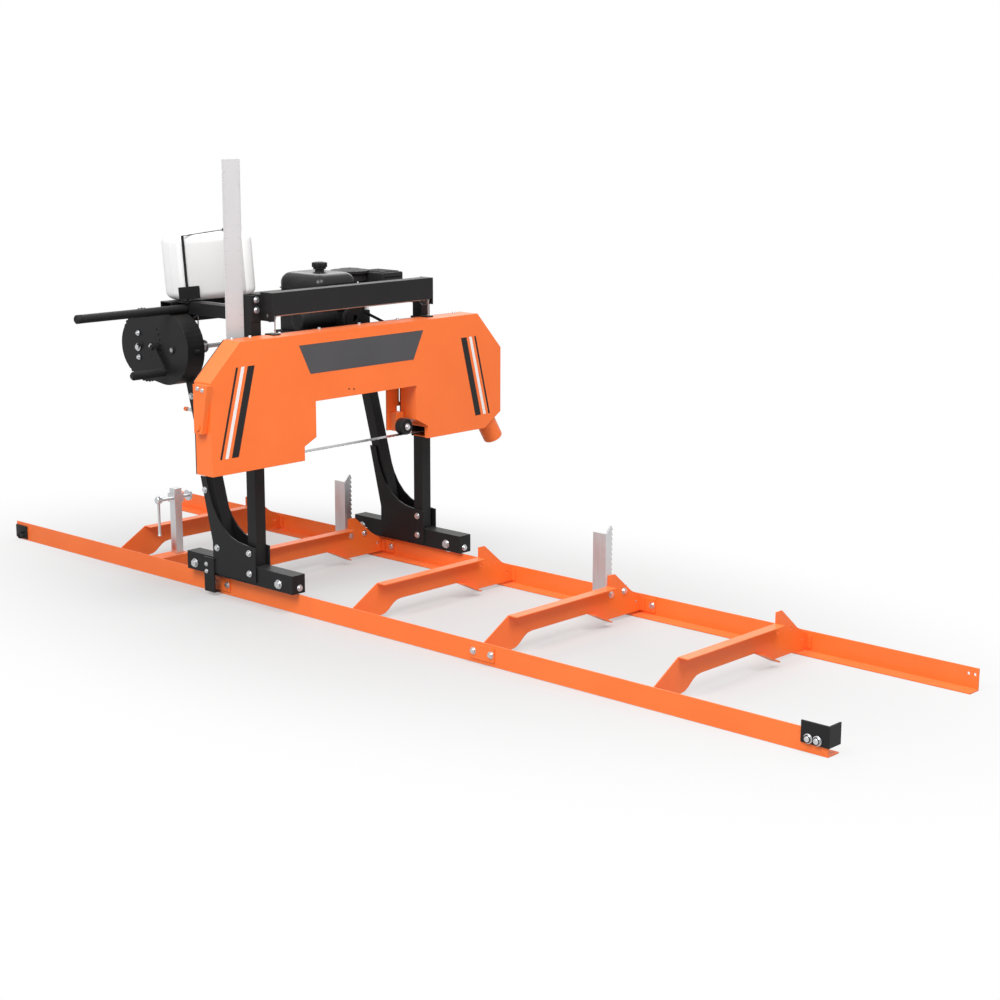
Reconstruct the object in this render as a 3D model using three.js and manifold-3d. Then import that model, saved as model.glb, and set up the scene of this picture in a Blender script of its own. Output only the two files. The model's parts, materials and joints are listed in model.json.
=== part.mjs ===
// Portable band sawmill: a rail bed on the ground, a carriage that rolls along it and a saw head that
// rises and falls on the carriage's two posts. Millimetres, +Z up, +X along the rails.
import * as THREE from 'three';
import { mergeVertices } from 'three/addons/utils/BufferGeometryUtils.js';
import Module from 'manifold-3d';

const wasm = await Module();
wasm.setup();

// Shared clearances: seat is left between neighbours, run round turning shafts, sink joins welded
// pieces and overrun carries each cut past its face
const seat = 0.3;
const run = 0.4;
const sink = 0.5;
const overrun = 2;
const half = 0.5;

// Bed
const rail = { section: 1471, count: 3, gauge: 940, height: 80, flange: 60, wall: 5, hole: 6, holeInset: 15,
  holePitch: 25, holeDrop: 24 };
const bunk = { wall: 4, flange: 44, tab: 22, top: 150, foot: 17, waist: 66, flatStart: 151, flatEnd: 726,
  frontTop: 66, rearTop: 70, noseEnd: 763, noseTop: 192, shoulderY: 864, shoulderZ: 108, sCurveStart: 165,
  sCurveEnd: 280, rearWaist: 596, rearFoot: 700, middleOffset: 765, spliceOffset: -14, hole: 6, holeZ: 114,
  holeNear: 741, holeFar: 820, rearHoleY: 899, rearHoleZ: 56 };
const splice = { length: 118, height: 56, lift: 15, wall: 5, boltInset: 16 };
const endStop = { lap: 100, wing: 60, wall: 6, bottom: 32, top: 104, boltZ: 48, boltInset: 28, boltPitch: 34 };
const endBracket = { length: 84, height: 58, lift: 8, wall: 6, eyeRadius: 13, eyeWire: 4, eyeX: 55 };
const stopBlade = { wall: 5, width: 42, flange: 64, top: 388, faceTop: 360, tip: 12, bottom: 100, near: 709,
  tooth: 8, teeth: 10, rackBottom: 190 };
const holder = { wall: 5, far: 842, bottom: 92, top: 136 };
const clamp = { x: 990, y: 152, post: 36, postTop: 352, baseWidth: 80, baseEnd: 190, baseTop: 66, baseWall: 5,
  headWidth: 48, headTop: 330, headBottom: 292, screw: 8, screwZ: 311, screwStart: 49, screwEnd: 214, hub: 15,
  hubLength: 22, handle: 6, handleDown: 158, handleUp: 20, pad: 24, padWall: 10 };

// Carriage
const beam = { xStart: 1302, xEnd: 1955, outer: 38, inner: 28, bottom: 86, top: 161, wall: 4, endBoltZ: 108 };
const wheel = { rear: 1350, front: 1872, radius: 35, flangeRadius: 38, width: 24, groove: 9, axle: 9 };
const plate = { wall: 6, topZ: 491, topStart: 1411, topEnd: 1447, curveX: 1490, curveZ: 250, curveEndX: 1690,
  curveEndZ: 244, end: 1742, endZ: 240, bottom: 97, waistX: 1478, waistZ: 225, boltX: 1704, boltHigh: 214,
  boltLow: 130, legBoltX: 1437, legBoltZ: 436, footBoltX: 1505, footBoltZ: 205 };
const post = { x: 1677, size: 51, wall: 4, top: 1247 };
const leg = { width: 52, depth: 50, footX: 1508, footZ: 163, lean: 0.281, wall: 4, boltX: 1345, boltZ: 809,
  boltPitch: 98 };
const rearBeam = { x: 1220, width: 70, bottom: 1106, top: 1190, wall: 4, overhang: 70 };
const arm = { bottom: 1142, top: 1192, wall: 4, gusset: 110, gussetWall: 8, gussetDrop: 76, bearing: 20 };
const frontBeam = { x: 1746, depth: 54, bottom: 1167, top: 1256, wall: 5, start: 32, tab: 6, tabBottom: 1144,
  slot: 8, boltPitch: 40 };
const pushBar = { radius: 17.5, x: 1330, z: 1165, reach: 560 };
const retainer = { x: 1425, width: 62, wall: 6, top: 158, bottom: 14, lip: 26, holeInset: 15,
  holePitch: 30, hole: 7 };

// Lift drive
const drive = { z: 1005, indexX: 1127, crankX: 1232, crossX: 1337, plateY: 110, plateWall: 6, rimWall: 4,
  endRadius: 146, endX: 1293, smallRadius: 122, rimStart: 1236, shaft: 9, boss: 16, bossWall: 5,
  holeCircle: 137, holeRadius: 4.5, holeCount: 8, holeSpread: 1.15, plunger: 8, plungerLength: 24 };
const gear = { pinionTeeth: 16, wheelTeeth: 48, width: 11, y: 100, addendum: 2.3, dedendum: 3.4,
  tipShare: 0.16, rootShare: 0.4 };
const index = { teeth: 46, radius: 146, root: 139, wall: 6, y: 84, tipShare: 0.42, rootShare: 0.58 };
const crank = { armY: 130, armWall: 8, armWidth: 32, gripX: 68, gripZ: -92, hub: 15, gripRadius: 18,
  gripLength: 150, gripPin: 6, gripHead: 12, gripCap: 5, end: 86 };
const cable = { radius: 3, sheave: 20, flange: 26, drumWidth: 18, drumFlange: 3, sheaveWidth: 12, sheaveGroove: 7,
  shaft: 7, inset: 45, sheaveZ: 1165, frontX: 1766, sides: 8, steps: 52 };

// Saw head
const guard = { face: 1850, back: 1754, wall: 4, left: -333, right: 1281, bottom: 586, top: 1090,
  leftShoulder: 946, leftTop: -183, skirt: 134, skirtTop: 643, throatLeft: 197, throatSlope: 674,
  throatTop: 818, throatRight: 762, rightSkirt: 830, rightSkirtTop: 638, cornerY: 1180, cornerZ: 649,
  rightShoulder: 931, rightTop: 1134, slotTop: 632, slotInset: 8 };
const band = { radius: 215, width: 30, x: 1786, leftY: -99, rightY: 1058, z: 828, gauge: 1.2, blade: 35,
  steps: 64, hub: 40, hubWidth: 40, shaft: 14, rimDepth: 24, web: 8 };
const panel = { wall: 5 };
const sleeve = { wall: 5, bottom: 800, top: 1086, gap: 1.5 };
const headBeam = { x: 1684, depth: 44, bottom: 905, top: 985, wall: 4 };
const bearing = { size: 56, depth: 60 };
const lug = { width: 36, reach: 12 };
const engine = { x: 1366, depth: 244, near: 404, far: 760, deckZ: 1044, deckWall: 6, top: 1176, headTop: 1246,
  headNear: 644, headInset: 22 };
const fuelTank = { x: 1372, depth: 266, near: 416, far: 643, top: 1288, round: 44, neck: 20, neckHeight: 10 };
const fuelCap = { radius: 33, y: 540, height: 30, lobes: 9, lobe: 2.5, tipShare: 0.5,
  rootShare: 0.75 };
const airCleaner = { radius: 84, height: 44, y: 728, lip: 20 };
const sideCover = { x: 1500, xEnd: 1655, far: 884, bottom: 1202, top: 1280, slope: 22 };
const muffler = { radius: 42, near: 350, far: 560, z: 1104, pipe: 12, pipeEnd: 806 };
const belt = { x: 1642, width: 13, gauge: 9, clutchY: 600, clutchZ: 1098, clutchRadius: 50, wheelRadius: 104,
  pulleyWidth: 25, steps: 24, slot: 42 };
const guide = { wall: 8, near: 700, far: 866, lip: 30, arm: 44, armNear: 713, armBottom: 622, armTop: 700,
  armEnd: 1776, roller: 30, flange: 34, flangeWall: 3, rollerWidth: 38, y: 735, axle: 7, cap: 12,
  slotNear: 770, slotBottom: 720 };
const fixedGuide = { y: 85, width: 44 };
const ruler = { x: 1699, wall: 3, near: -127, far: -39, bottom: 960, top: 1769, tabBottom: 985, tabTop: 1065 };
const lever = { wall: 26, x: 1778, bottom: 752, top: 940, topWidth: 84, bottomWidth: 46, pin: 7, pinLift: 24,
  pinHead: 13, cap: 5 };
const chute = { radius: 43, wall: 3, length: 104, sides: 20, x: 1800, flange: 5, flangeWidth: 3 };
const waterTank = { x: 1201, depth: 150, near: -42, far: 345, height: 262, round: 34, neck: 22, neckHeight: 14,
  neckInset: 76, lean: 0.1 };
const strap = { wall: 2.5, width: 12, near: -38, backNear: 296, clipNear: -77, clipFar: 27, clipBottom: 1204,
  clipTop: 1254, clipWall: 4, drop: 5 };
const screwHead = { radius: 9, height: 7, shank: 5 };
const roundHead = { radius: 13, height: 9, shank: 5 };

const bedLength = rail.count * rail.section;
const colours = {
  orange: [0xff7838, 0.45, 0.1],
  black: [0x2b2b2d, 0.5, 0.3],
  zinc: [0xc9ccd0, 0.3, 0.9],
  steel: [0x9a9da2, 0.35, 0.9],
  rubber: [0x1c1c1d, 0.85, 0],
  tank: [0xe9e8e4, 0.5, 0],
  scale: [0xe2e0e0, 0.4, 0],
};

const sawmill = new THREE.Group();

// Geometry helpers
function bare(geometry) {
  const copy = geometry.index ? geometry.toNonIndexed() : geometry.clone();
  copy.deleteAttribute('normal');
  copy.deleteAttribute('uv');
  return copy;
}

function toSolid(geometry) {
  const merged = mergeVertices(bare(geometry));
  const mesh = new wasm.Mesh({
    numProp: 3,
    vertProperties: new Float32Array(merged.attributes.position.array),
    triVerts: new Uint32Array(merged.index.array),
  });
  return new wasm.Manifold(mesh);
}

function fromSolid(manifold) {
  const mesh = manifold.getMesh();
  const geometry = new THREE.BufferGeometry();
  geometry.setAttribute('position', new THREE.BufferAttribute(new Float32Array(mesh.vertProperties), 3));
  geometry.setIndex(new THREE.BufferAttribute(new Uint32Array(mesh.triVerts), 1));
  return geometry;
}

function join(...pieces) {
  return fromSolid(pieces.map(toSolid).reduce((sum, next) => sum.add(next)));
}

function cut(piece, ...tools) {
  return fromSolid(tools.map(toSolid).reduce((rest, tool) => rest.subtract(tool), toSolid(piece)));
}

function overlap(piece, tool) {
  return fromSolid(toSolid(piece).intersect(toSolid(tool)));
}

function block(x0, x1, y0, y1, z0, z1) {
  const geometry = new THREE.BoxGeometry(x1 - x0, y1 - y0, z1 - z0);
  return geometry.translate((x0 + x1) * half, (y0 + y1) * half, (z0 + z1) * half);
}

function outline(points) {
  return new THREE.Shape(points.map(([u, v]) => new THREE.Vector2(u, v)));
}

function roundOutline(radius, sides) {
  return outline(Array.from({ length: sides }, (unused, k) => {
    const angle = 2 * Math.PI * k / sides;
    return [radius * Math.cos(angle), radius * Math.sin(angle)];
  }));
}

function extrude(shape, depth, curveSegments) {
  return new THREE.ExtrudeGeometry(shape, { depth, bevelEnabled: false, curveSegments });
}

// Outline in (y, z), swept along X
function prismX(shape, x0, x1, curveSegments = 8) {
  const turn = new THREE.Matrix4().set(0, 0, 1, x0, 1, 0, 0, 0, 0, 1, 0, 0, 0, 0, 0, 1);
  return extrude(shape, x1 - x0, curveSegments).applyMatrix4(turn);
}

// Outline in (x, z), swept along Y
function prismY(shape, y0, y1, curveSegments = 8) {
  return extrude(shape, y1 - y0, curveSegments).rotateX(Math.PI / 2).translate(0, y1, 0);
}

// Profile of [radius, distance] pairs turned about an axis through the given point
function turned(profile, axis, x, y, z, steps = 16) {
  const points = profile.map(([radius, along]) => new THREE.Vector2(radius, along));
  const geometry = new THREE.LatheGeometry(points, steps);
  if (axis === 'x') geometry.rotateZ(-Math.PI / 2);
  if (axis === 'z') geometry.rotateX(Math.PI / 2);
  return geometry.translate(x, y, z);
}

// Round bar along an axis; u and v are its other two coordinates in x, y, z order
function rod(axis, radius, from, to, u, v, steps = 12) {
  const profile = [[0, from], [radius, from], [radius, to], [0, to]];
  if (axis === 'x') return turned(profile, 'x', 0, u, v, steps);
  if (axis === 'z') return turned(profile, 'z', u, v, 0, steps);
  return turned(profile, 'y', u, 0, v, steps);
}

function ring(bore, radius, from, to) {
  return [[bore, from], [radius, from], [radius, to], [bore, to], [bore, from]];
}

// The same piece on the other side of the bed
function mirrorY(geometry) {
  const copy = bare(geometry).applyMatrix4(new THREE.Matrix4().makeScale(1, -1, 1));
  const position = copy.attributes.position;
  for (let i = 0; i < position.count; i += 3) {
    const swap = new THREE.Vector3().fromBufferAttribute(position, i + 1);
    position.setXYZ(i + 1, position.getX(i + 2), position.getY(i + 2), position.getZ(i + 2));
    position.setXYZ(i + 2, swap.x, swap.y, swap.z);
  }
  return copy.translate(0, rail.gauge, 0);
}

// Bolt head with a short shank; sign is the way the head points along the axis
function bolt(axis, sign, x, y, z, size = screwHead, shank = size.shank, sides = 6) {
  const profile = [[0, -shank], [size.shank, -shank], [size.shank, 0], [size.radius, 0],
    [size.radius, size.height], [0, size.height]];
  const geometry = turned(profile, 'y', 0, 0, 0, sides);
  const towards = { x: new THREE.Vector3(sign, 0, 0), y: new THREE.Vector3(0, sign, 0),
    z: new THREE.Vector3(0, 0, sign) }[axis];
  geometry.applyQuaternion(new THREE.Quaternion().setFromUnitVectors(new THREE.Vector3(0, 1, 0), towards));
  return geometry.translate(x, y, z);
}

// Toothed rim round the origin: each tooth is a trapezoid
function toothed(teeth, tipRadius, rootRadius, tipShare, rootShare, phase = 0) {
  const pitch = 2 * Math.PI / teeth;
  const points = [];
  for (let i = 0; i < teeth; i += 1) {
    const corners = [[rootRadius, -rootShare], [tipRadius, -tipShare], [tipRadius, tipShare],
      [rootRadius, rootShare]];
    corners.forEach(([radius, share]) => {
      const angle = i * pitch + phase + share * pitch * half;
      points.push([radius * Math.cos(angle), radius * Math.sin(angle)]);
    });
  }
  return points;
}

// Square tube along an axis, open at both ends
function squareTube(axis, wall, x0, x1, y0, y1, z0, z1) {
  const grow = { x: [overrun, -wall, -wall], y: [-wall, overrun, -wall], z: [-wall, -wall, overrun] }[axis];
  const bore = block(x0 - grow[0], x1 + grow[0], y0 - grow[1], y1 + grow[1], z0 - grow[2], z1 + grow[2]);
  return cut(block(x0, x1, y0, y1, z0, z1), bore);
}

function add(name, colour, geometry) {
  const clean = fromSolid(toSolid(geometry)).toNonIndexed();
  clean.computeVertexNormals();
  const [color, roughness, metalness] = colours[colour];
  const mesh = new THREE.Mesh(clean, new THREE.MeshStandardMaterial({ color, roughness, metalness }));
  mesh.name = name;
  sawmill.add(mesh);
}

const farY = (y) => rail.gauge - y;
const jointX = (k) => k * rail.section;

// Rail: three lengths butted end to end over splice plates, which are bolted on from the given face
const spliceTop = splice.lift + splice.height;
function railRun(plateY, headSign, isDrilled) {
  const { height, flange, wall, hole, holeInset, holePitch, holeDrop } = rail;
  const shape = outline([[0, 0], [flange, 0], [flange, wall], [wall, wall], [wall, height], [0, height]]);
  const pieces = [];
  for (let k = 0; k < rail.count; k += 1) {
    const end = jointX(k + 1) - (k < rail.count - 1 ? seat : 0);
    pieces.push(prismX(shape, jointX(k), end));
  }
  for (let k = 1; k < rail.count; k += 1) {
    const reach = splice.length * half;
    pieces.push(block(jointX(k) - reach, jointX(k) + reach, plateY, plateY + splice.wall, splice.lift, spliceTop));
    [-1, 1].forEach((side) => {
      const headY = headSign < 0 ? plateY : plateY + splice.wall;
      pieces.push(bolt('y', headSign, jointX(k) + side * (reach - splice.boltInset), headY,
        splice.lift + splice.height * half));
    });
  }
  const joined = join(...pieces);
  if (!isDrilled) return joined;
  const holes = [0, 1].map((k) => rod('y', hole, -overrun, wall + overrun,
    bedLength - holeInset - k * holePitch, height - holeDrop, 8));
  return cut(joined, ...holes);
}
const eye = new THREE.TorusGeometry(endBracket.eyeRadius, endBracket.eyeWire, 6, 12);
eye.rotateY(Math.PI / 2);
eye.translate(endBracket.eyeX, -endBracket.wall - endBracket.eyeRadius,
  endBracket.lift + endBracket.eyeRadius + endBracket.eyeWire);
add('front_rail', 'orange', join(railRun(sink - splice.wall, -1, false), eye,
  block(0, endBracket.length, -endBracket.wall, sink, endBracket.lift, endBracket.lift + endBracket.height)));
add('back_rail', 'orange', mirrorY(railRun(rail.wall - sink, 1, true)));

// Bunks: one folded sheet each, with the web across the bed
const bunkPlaces = [bunk.middleOffset, jointX(1) + bunk.spliceOffset, jointX(1) + bunk.middleOffset,
  jointX(2) + bunk.spliceOffset, jointX(2) + bunk.middleOffset];
function bunkSheet(start, rearGap) {
  const near = rail.wall + seat;
  const far = farY(rail.wall + rearGap);
  const bend = (bunk.sCurveEnd - bunk.sCurveStart) * half;
  const web = new THREE.Shape();
  web.moveTo(near, bunk.foot);
  web.lineTo(bunk.sCurveStart, bunk.foot);
  web.bezierCurveTo(bunk.sCurveStart + bend, bunk.foot, bunk.sCurveStart + bend, bunk.waist,
    bunk.sCurveEnd, bunk.waist);
  web.lineTo(bunk.rearWaist, bunk.waist);
  web.lineTo(bunk.rearFoot, bunk.foot);
  web.lineTo(far, bunk.foot);
  web.lineTo(far, bunk.rearTop);
  web.lineTo(bunk.shoulderY, bunk.shoulderZ);
  web.lineTo(bunk.noseEnd, bunk.noseTop);
  web.lineTo(bunk.flatEnd, bunk.noseTop);
  web.lineTo(bunk.flatEnd, bunk.top);
  web.lineTo(bunk.flatStart, bunk.top);
  web.lineTo(near, bunk.frontTop);
  const top = block(start, start + bunk.flange, bunk.flatStart, bunk.flatEnd, bunk.top - bunk.wall, bunk.top);
  const waistFold = prismX(outline([[bunk.rearWaist, bunk.waist], [bunk.rearFoot, bunk.foot],
    [bunk.rearFoot + bunk.wall, bunk.foot + bunk.wall], [bunk.rearWaist + bunk.wall, bunk.waist + bunk.wall]]),
  start, start + bunk.flange);
  const tabs = [near, far - bunk.wall].map((y) => block(start, start + bunk.tab, y, y + bunk.wall, bunk.foot,
    bunk.frontTop));
  const holes = [[bunk.holeNear, bunk.holeZ], [bunk.holeFar, bunk.holeZ], [bunk.rearHoleY, bunk.rearHoleZ]]
    .map(([y, z]) => rod('x', bunk.hole, start - overrun, start + bunk.wall + overrun, y, z, 8));
  return cut(join(prismX(web, start, start + bunk.wall, 6), top, waistFold, ...tabs), ...holes);
}
bunkPlaces.forEach((start, k) => add(`bunk_${k + 1}`, 'orange',
  bunkSheet(start, seat + (k % 2 === 1 ? splice.wall : 0))));

// End stop: plate lapped on the near end of the front rail, with a wing across the rail's end
const stopX = bedLength - endStop.lap;
const wingX = bedLength + seat;
add('end_stop', 'black', join(
  block(stopX, wingX + endStop.wall, -seat - endStop.wall, -seat, endStop.bottom, endStop.top),
  block(wingX, wingX + endStop.wall, -seat - endStop.wall, endStop.wing, endStop.bottom, endStop.top),
  ...[0, 1].map((k) => bolt('y', -1, stopX + endStop.boltInset + k * endStop.boltPitch, -seat - endStop.wall,
    endStop.boltZ, roundHead, roundHead.shank, 10)),
));

// Log stops: angles that drop behind two of the bunks, each with a face to the log and a toothed rack
// that a holder keeps against the bunk
function logStop(start) {
  const { wall, width, flange, top, faceTop, tip, bottom, near, tooth, teeth, rackBottom } = stopBlade;
  const far = near + width;
  const face = start - seat;
  const pitch = (top - rackBottom) / teeth;
  const points = [[near, bottom], [far - tooth, bottom]];
  for (let i = 0; i < teeth; i += 1) {
    points.push([far - tooth, rackBottom + i * pitch], [far, rackBottom + i * pitch]);
  }
  points.push([far - tooth, top], [far - tip, top], [near + wall, faceTop], [near, faceTop]);
  return join(prismX(outline(points), face - wall, face),
    block(face - flange, face, near, near + wall, bottom, faceTop));
}
function stopHolder(start) {
  const face = start - seat;
  const backFace = face - stopBlade.wall - seat;
  const back = block(backFace - holder.wall, backFace, stopBlade.near + stopBlade.wall + seat, holder.far,
    holder.bottom, holder.top);
  const farLip = block(backFace - sink, face, stopBlade.near + stopBlade.width + seat, holder.far,
    holder.bottom, holder.top);
  const shank = bunk.wall + 2 * seat;
  const pin = rod('x', screwHead.shank, backFace, start + shank, bunk.holeFar, bunk.holeZ, 8);
  const nut = rod('x', screwHead.radius, start + bunk.wall + seat, start + shank + screwHead.height,
    bunk.holeFar, bunk.holeZ, 6);
  return join(back, farLip, pin, nut);
}
[bunkPlaces[1], bunkPlaces[3]].forEach((start, k) => {
  add(`log_stop_${k + 1}`, 'zinc', logStop(start));
  add(`log_stop_holder_${k + 1}`, 'zinc', stopHolder(start));
});

// Log clamp: channel base on the front rail, post, screw with a hanging handle, and a pad
const clampHalf = clamp.baseWidth * half;
const baseStart = rail.wall + seat;
add('clamp_base', 'orange', cut(
  block(clamp.x - clampHalf, clamp.x + clampHalf, baseStart, clamp.baseEnd, baseStart, clamp.baseTop),
  block(clamp.x - clampHalf + clamp.baseWall, clamp.x + clampHalf - clamp.baseWall,
    baseStart + clamp.baseWall, clamp.baseEnd + overrun, -overrun, clamp.baseTop - clamp.baseWall),
));
function centredBlock(width, bottom, top) {
  const w = width * half;
  return block(clamp.x - w, clamp.x + w, clamp.y - w, clamp.y + w, bottom, top);
}
add('clamp_post', 'zinc', cut(join(centredBlock(clamp.post, clamp.baseTop + seat, clamp.postTop),
  centredBlock(clamp.headWidth, clamp.headBottom, clamp.headTop)),
rod('y', clamp.screw + run, clamp.y - clamp.headWidth, clamp.y + clamp.headWidth, clamp.x, clamp.screwZ)));
const { hub, hubLength, screw, screwStart, screwEnd } = clamp;
add('clamp_screw', 'zinc', join(
  turned([[0, screwStart], [hub, screwStart], [hub, screwStart + hubLength], [screw, screwStart + hubLength],
    [screw, screwEnd], [0, screwEnd]], 'y', clamp.x, 0, clamp.screwZ, 12),
  rod('z', clamp.handle, clamp.screwZ - clamp.handleDown, clamp.screwZ + clamp.handleUp, clamp.x,
    screwStart + hubLength * half, 8),
));
add('clamp_pad', 'zinc', rod('y', clamp.pad, screwEnd + seat, screwEnd + seat + clamp.padWall, clamp.x,
  clamp.screwZ, 16));

// Base beams: channels open below, over the rails, with the wheel axles and the inner side plates fixed
const axleZ = rail.height + wheel.radius + seat;
const wheelY = rail.wall * half;
const wheelXs = [wheel.rear, wheel.front];
function sidePlate(y0, y1) {
  const shape = new THREE.Shape();
  shape.moveTo(plate.topStart, plate.topZ);
  shape.lineTo(plate.waistX, plate.waistZ);
  shape.lineTo(plate.waistX, plate.bottom);
  shape.lineTo(plate.end, plate.bottom);
  shape.lineTo(plate.end, plate.endZ);
  shape.lineTo(plate.curveEndX, plate.curveEndZ);
  shape.quadraticCurveTo(plate.curveX, plate.curveZ, plate.topEnd, plate.topZ);
  return prismY(shape, y0, y1, 7);
}
function axleBolt(x) {
  const profile = [[0, -beam.outer - roundHead.height], [roundHead.radius, -beam.outer - roundHead.height],
    [roundHead.radius, sink - beam.outer], [wheel.axle, sink - beam.outer], [wheel.axle, beam.inner - sink],
    [roundHead.radius, beam.inner - sink], [roundHead.radius, beam.inner + roundHead.height],
    [0, beam.inner + roundHead.height]];
  return turned(profile, 'y', x, 0, axleZ, 12);
}
function baseBeam() {
  const { xStart, xEnd, outer, inner, bottom, top, wall } = beam;
  const shell = cut(block(xStart, xEnd, -outer, inner, bottom, top), block(xStart + wall, xEnd - wall,
    wall - outer, inner - wall, bottom - overrun, top - wall));
  return join(shell, sidePlate(inner - sink, inner + plate.wall), ...wheelXs.map(axleBolt),
    bolt('x', 1, xEnd, 0, beam.endBoltZ, screwHead, wall));
}
add('front_base_beam', 'black', baseBeam());
add('back_base_beam', 'black', mirrorY(baseBeam()));

// Outer side plates, each with a bracket that reaches down past the rail to keep the carriage on it
function outerPlate() {
  const face = -beam.outer - seat;
  const outside = face - plate.wall;
  const hangFace = outside - retainer.wall;
  const places = [[plate.boltX, plate.boltHigh], [plate.boltX, plate.boltLow],
    [plate.legBoltX, plate.legBoltZ], [plate.footBoltX, plate.footBoltZ]];
  const heads = places.map(([x, z]) => bolt('y', -1, x, outside, z));
  const x1 = retainer.x + retainer.width;
  const hanger = block(retainer.x, x1, hangFace, outside + sink, retainer.bottom, retainer.top);
  const foot = block(retainer.x, x1, outside, outside + retainer.lip, retainer.bottom,
    retainer.bottom + retainer.wall);
  const holes = [1, 2].map((k) => rod('y', retainer.hole, hangFace - overrun, outside + overrun,
    retainer.x + retainer.holeInset, retainer.top - k * retainer.holePitch, 8));
  return join(sidePlate(outside, face), ...heads, cut(join(hanger, foot), ...holes));
}
add('front_side_plate', 'black', outerPlate());
add('back_side_plate', 'black', mirrorY(outerPlate()));

// Grooved wheels on the rails' top edges
function railWheel(x, y) {
  const { radius, flangeRadius, width, groove, axle } = wheel;
  const w = width * half;
  const g = groove * half;
  const bore = axle + run;
  return turned([[bore, -w], [flangeRadius, -w], [flangeRadius, -g], [radius, -g], [radius, g],
    [flangeRadius, g], [flangeRadius, w], [bore, w], [bore, -w]], 'y', x, y, axleZ, 20);
}
wheelXs.forEach((x, k) => {
  add(`front_wheel_${k + 1}`, 'zinc', railWheel(x, wheelY));
  add(`back_wheel_${k + 1}`, 'zinc', railWheel(x, farY(wheelY)));
});

// Posts, and leaning legs welded to the top arms with a gusset
const postHalf = post.size * half;
const legHalf = leg.depth * half;
const legTop = rearBeam.bottom - seat;
const legLeft = (z) => leg.footX - (z - leg.footZ) * leg.lean;
const legRight = (z) => legLeft(z) + leg.width;
const postTube = squareTube('z', post.wall, post.x, post.x + post.size, -postHalf, postHalf,
  beam.top + seat, post.top);
add('front_post', 'black', postTube);
add('back_post', 'black', mirrorY(postTube));
function legTube() {
  const slab = (inset, low, high) => outline([[legLeft(low) + inset, low], [legRight(low) - inset, low],
    [legRight(high) - inset, high], [legLeft(high) + inset, high]]);
  return cut(prismY(slab(0, leg.footZ, legTop), -legHalf, legHalf),
    prismY(slab(leg.wall, leg.footZ - overrun, legTop + overrun), leg.wall - legHalf, legHalf - leg.wall));
}
function legFrame() {
  const armStart = rearBeam.x + rearBeam.width + seat;
  const tube = squareTube('x', arm.wall, armStart, post.x - seat, -legHalf, legHalf, arm.bottom, arm.top);
  const low = legTop - arm.gussetDrop;
  const shape = new THREE.Shape();
  shape.moveTo(armStart, arm.bottom + sink);
  shape.lineTo(armStart, legTop);
  shape.lineTo(legRight(low) - leg.wall * half, low);
  shape.quadraticCurveTo(legRight(legTop) + overrun, arm.bottom - overrun, armStart + arm.gusset,
    arm.bottom + sink);
  const gusset = prismY(shape, -arm.gussetWall * half, arm.gussetWall * half, 6);
  const bearingBlock = block(legRight(drive.z) - leg.wall * half, drive.crossX + arm.bearing,
    -arm.gussetWall, arm.gussetWall, drive.z - arm.bearing, drive.z + arm.bearing);
  const bores = [rod('y', drive.shaft + run, -legHalf, legHalf, drive.crossX, drive.z),
    rod('y', cable.shaft + run, 0, leg.depth, drive.crossX, cable.sheaveZ)];
  const heads = [0, 1].map((k) => bolt('y', -1, leg.boltX + k * leg.boltPitch * leg.lean, -legHalf,
    leg.boltZ - k * leg.boltPitch, screwHead, leg.wall));
  return join(cut(join(tube, gusset, bearingBlock, legTube()), ...bores), ...heads);
}
add('front_leg', 'black', legFrame());
add('back_leg', 'black', mirrorY(legFrame()));

// Crossbeams: a square tube on the legs, and a channel open below between the posts
add('rear_crossbeam', 'black', squareTube('y', rearBeam.wall, rearBeam.x, rearBeam.x + rearBeam.width,
  -rearBeam.overhang, farY(-rearBeam.overhang), rearBeam.bottom, rearBeam.top));
const cableLift = cable.sheave + cable.radius + seat;
function crossbeamEnd() {
  const { x, depth, top, start, tab, tabBottom, boltPitch } = frontBeam;
  const postFace = post.x + post.size + seat;
  const boltX = postFace + tab;
  return join(block(postFace, x + depth, start - tab, start + sink, tabBottom, top),
    block(postFace, postFace + tab, -postHalf, start, tabBottom, post.top),
    ...[0, 1].map((k) => bolt('x', 1, boltX, 0, post.top - boltPitch * (k + half))));
}
function frontCrossbeam() {
  const { x, depth, bottom, top, wall, start, slot } = frontBeam;
  const hollow = block(x + wall, x + depth - wall, start - overrun, farY(start - overrun), bottom - overrun,
    top - wall);
  const slots = [cable.inset, farY(cable.inset)].map((y) => block(x - overrun, x + wall + overrun, y - slot,
    y + slot, bottom - overrun, cable.sheaveZ + cable.flange + slot));
  const channel = cut(block(x, x + depth, start, farY(start), bottom, top), hollow, ...slots);
  const bore = rod('y', cable.shaft + run, 0, rail.gauge, cable.frontX, cable.sheaveZ);
  return cut(join(channel, crossbeamEnd(), mirrorY(crossbeamEnd())), bore);
}
add('front_crossbeam', 'black', frontCrossbeam());
add('push_bar', 'black', rod('y', pushBar.radius, -pushBar.reach, -legHalf - seat, pushBar.x, pushBar.z, 16));

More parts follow.
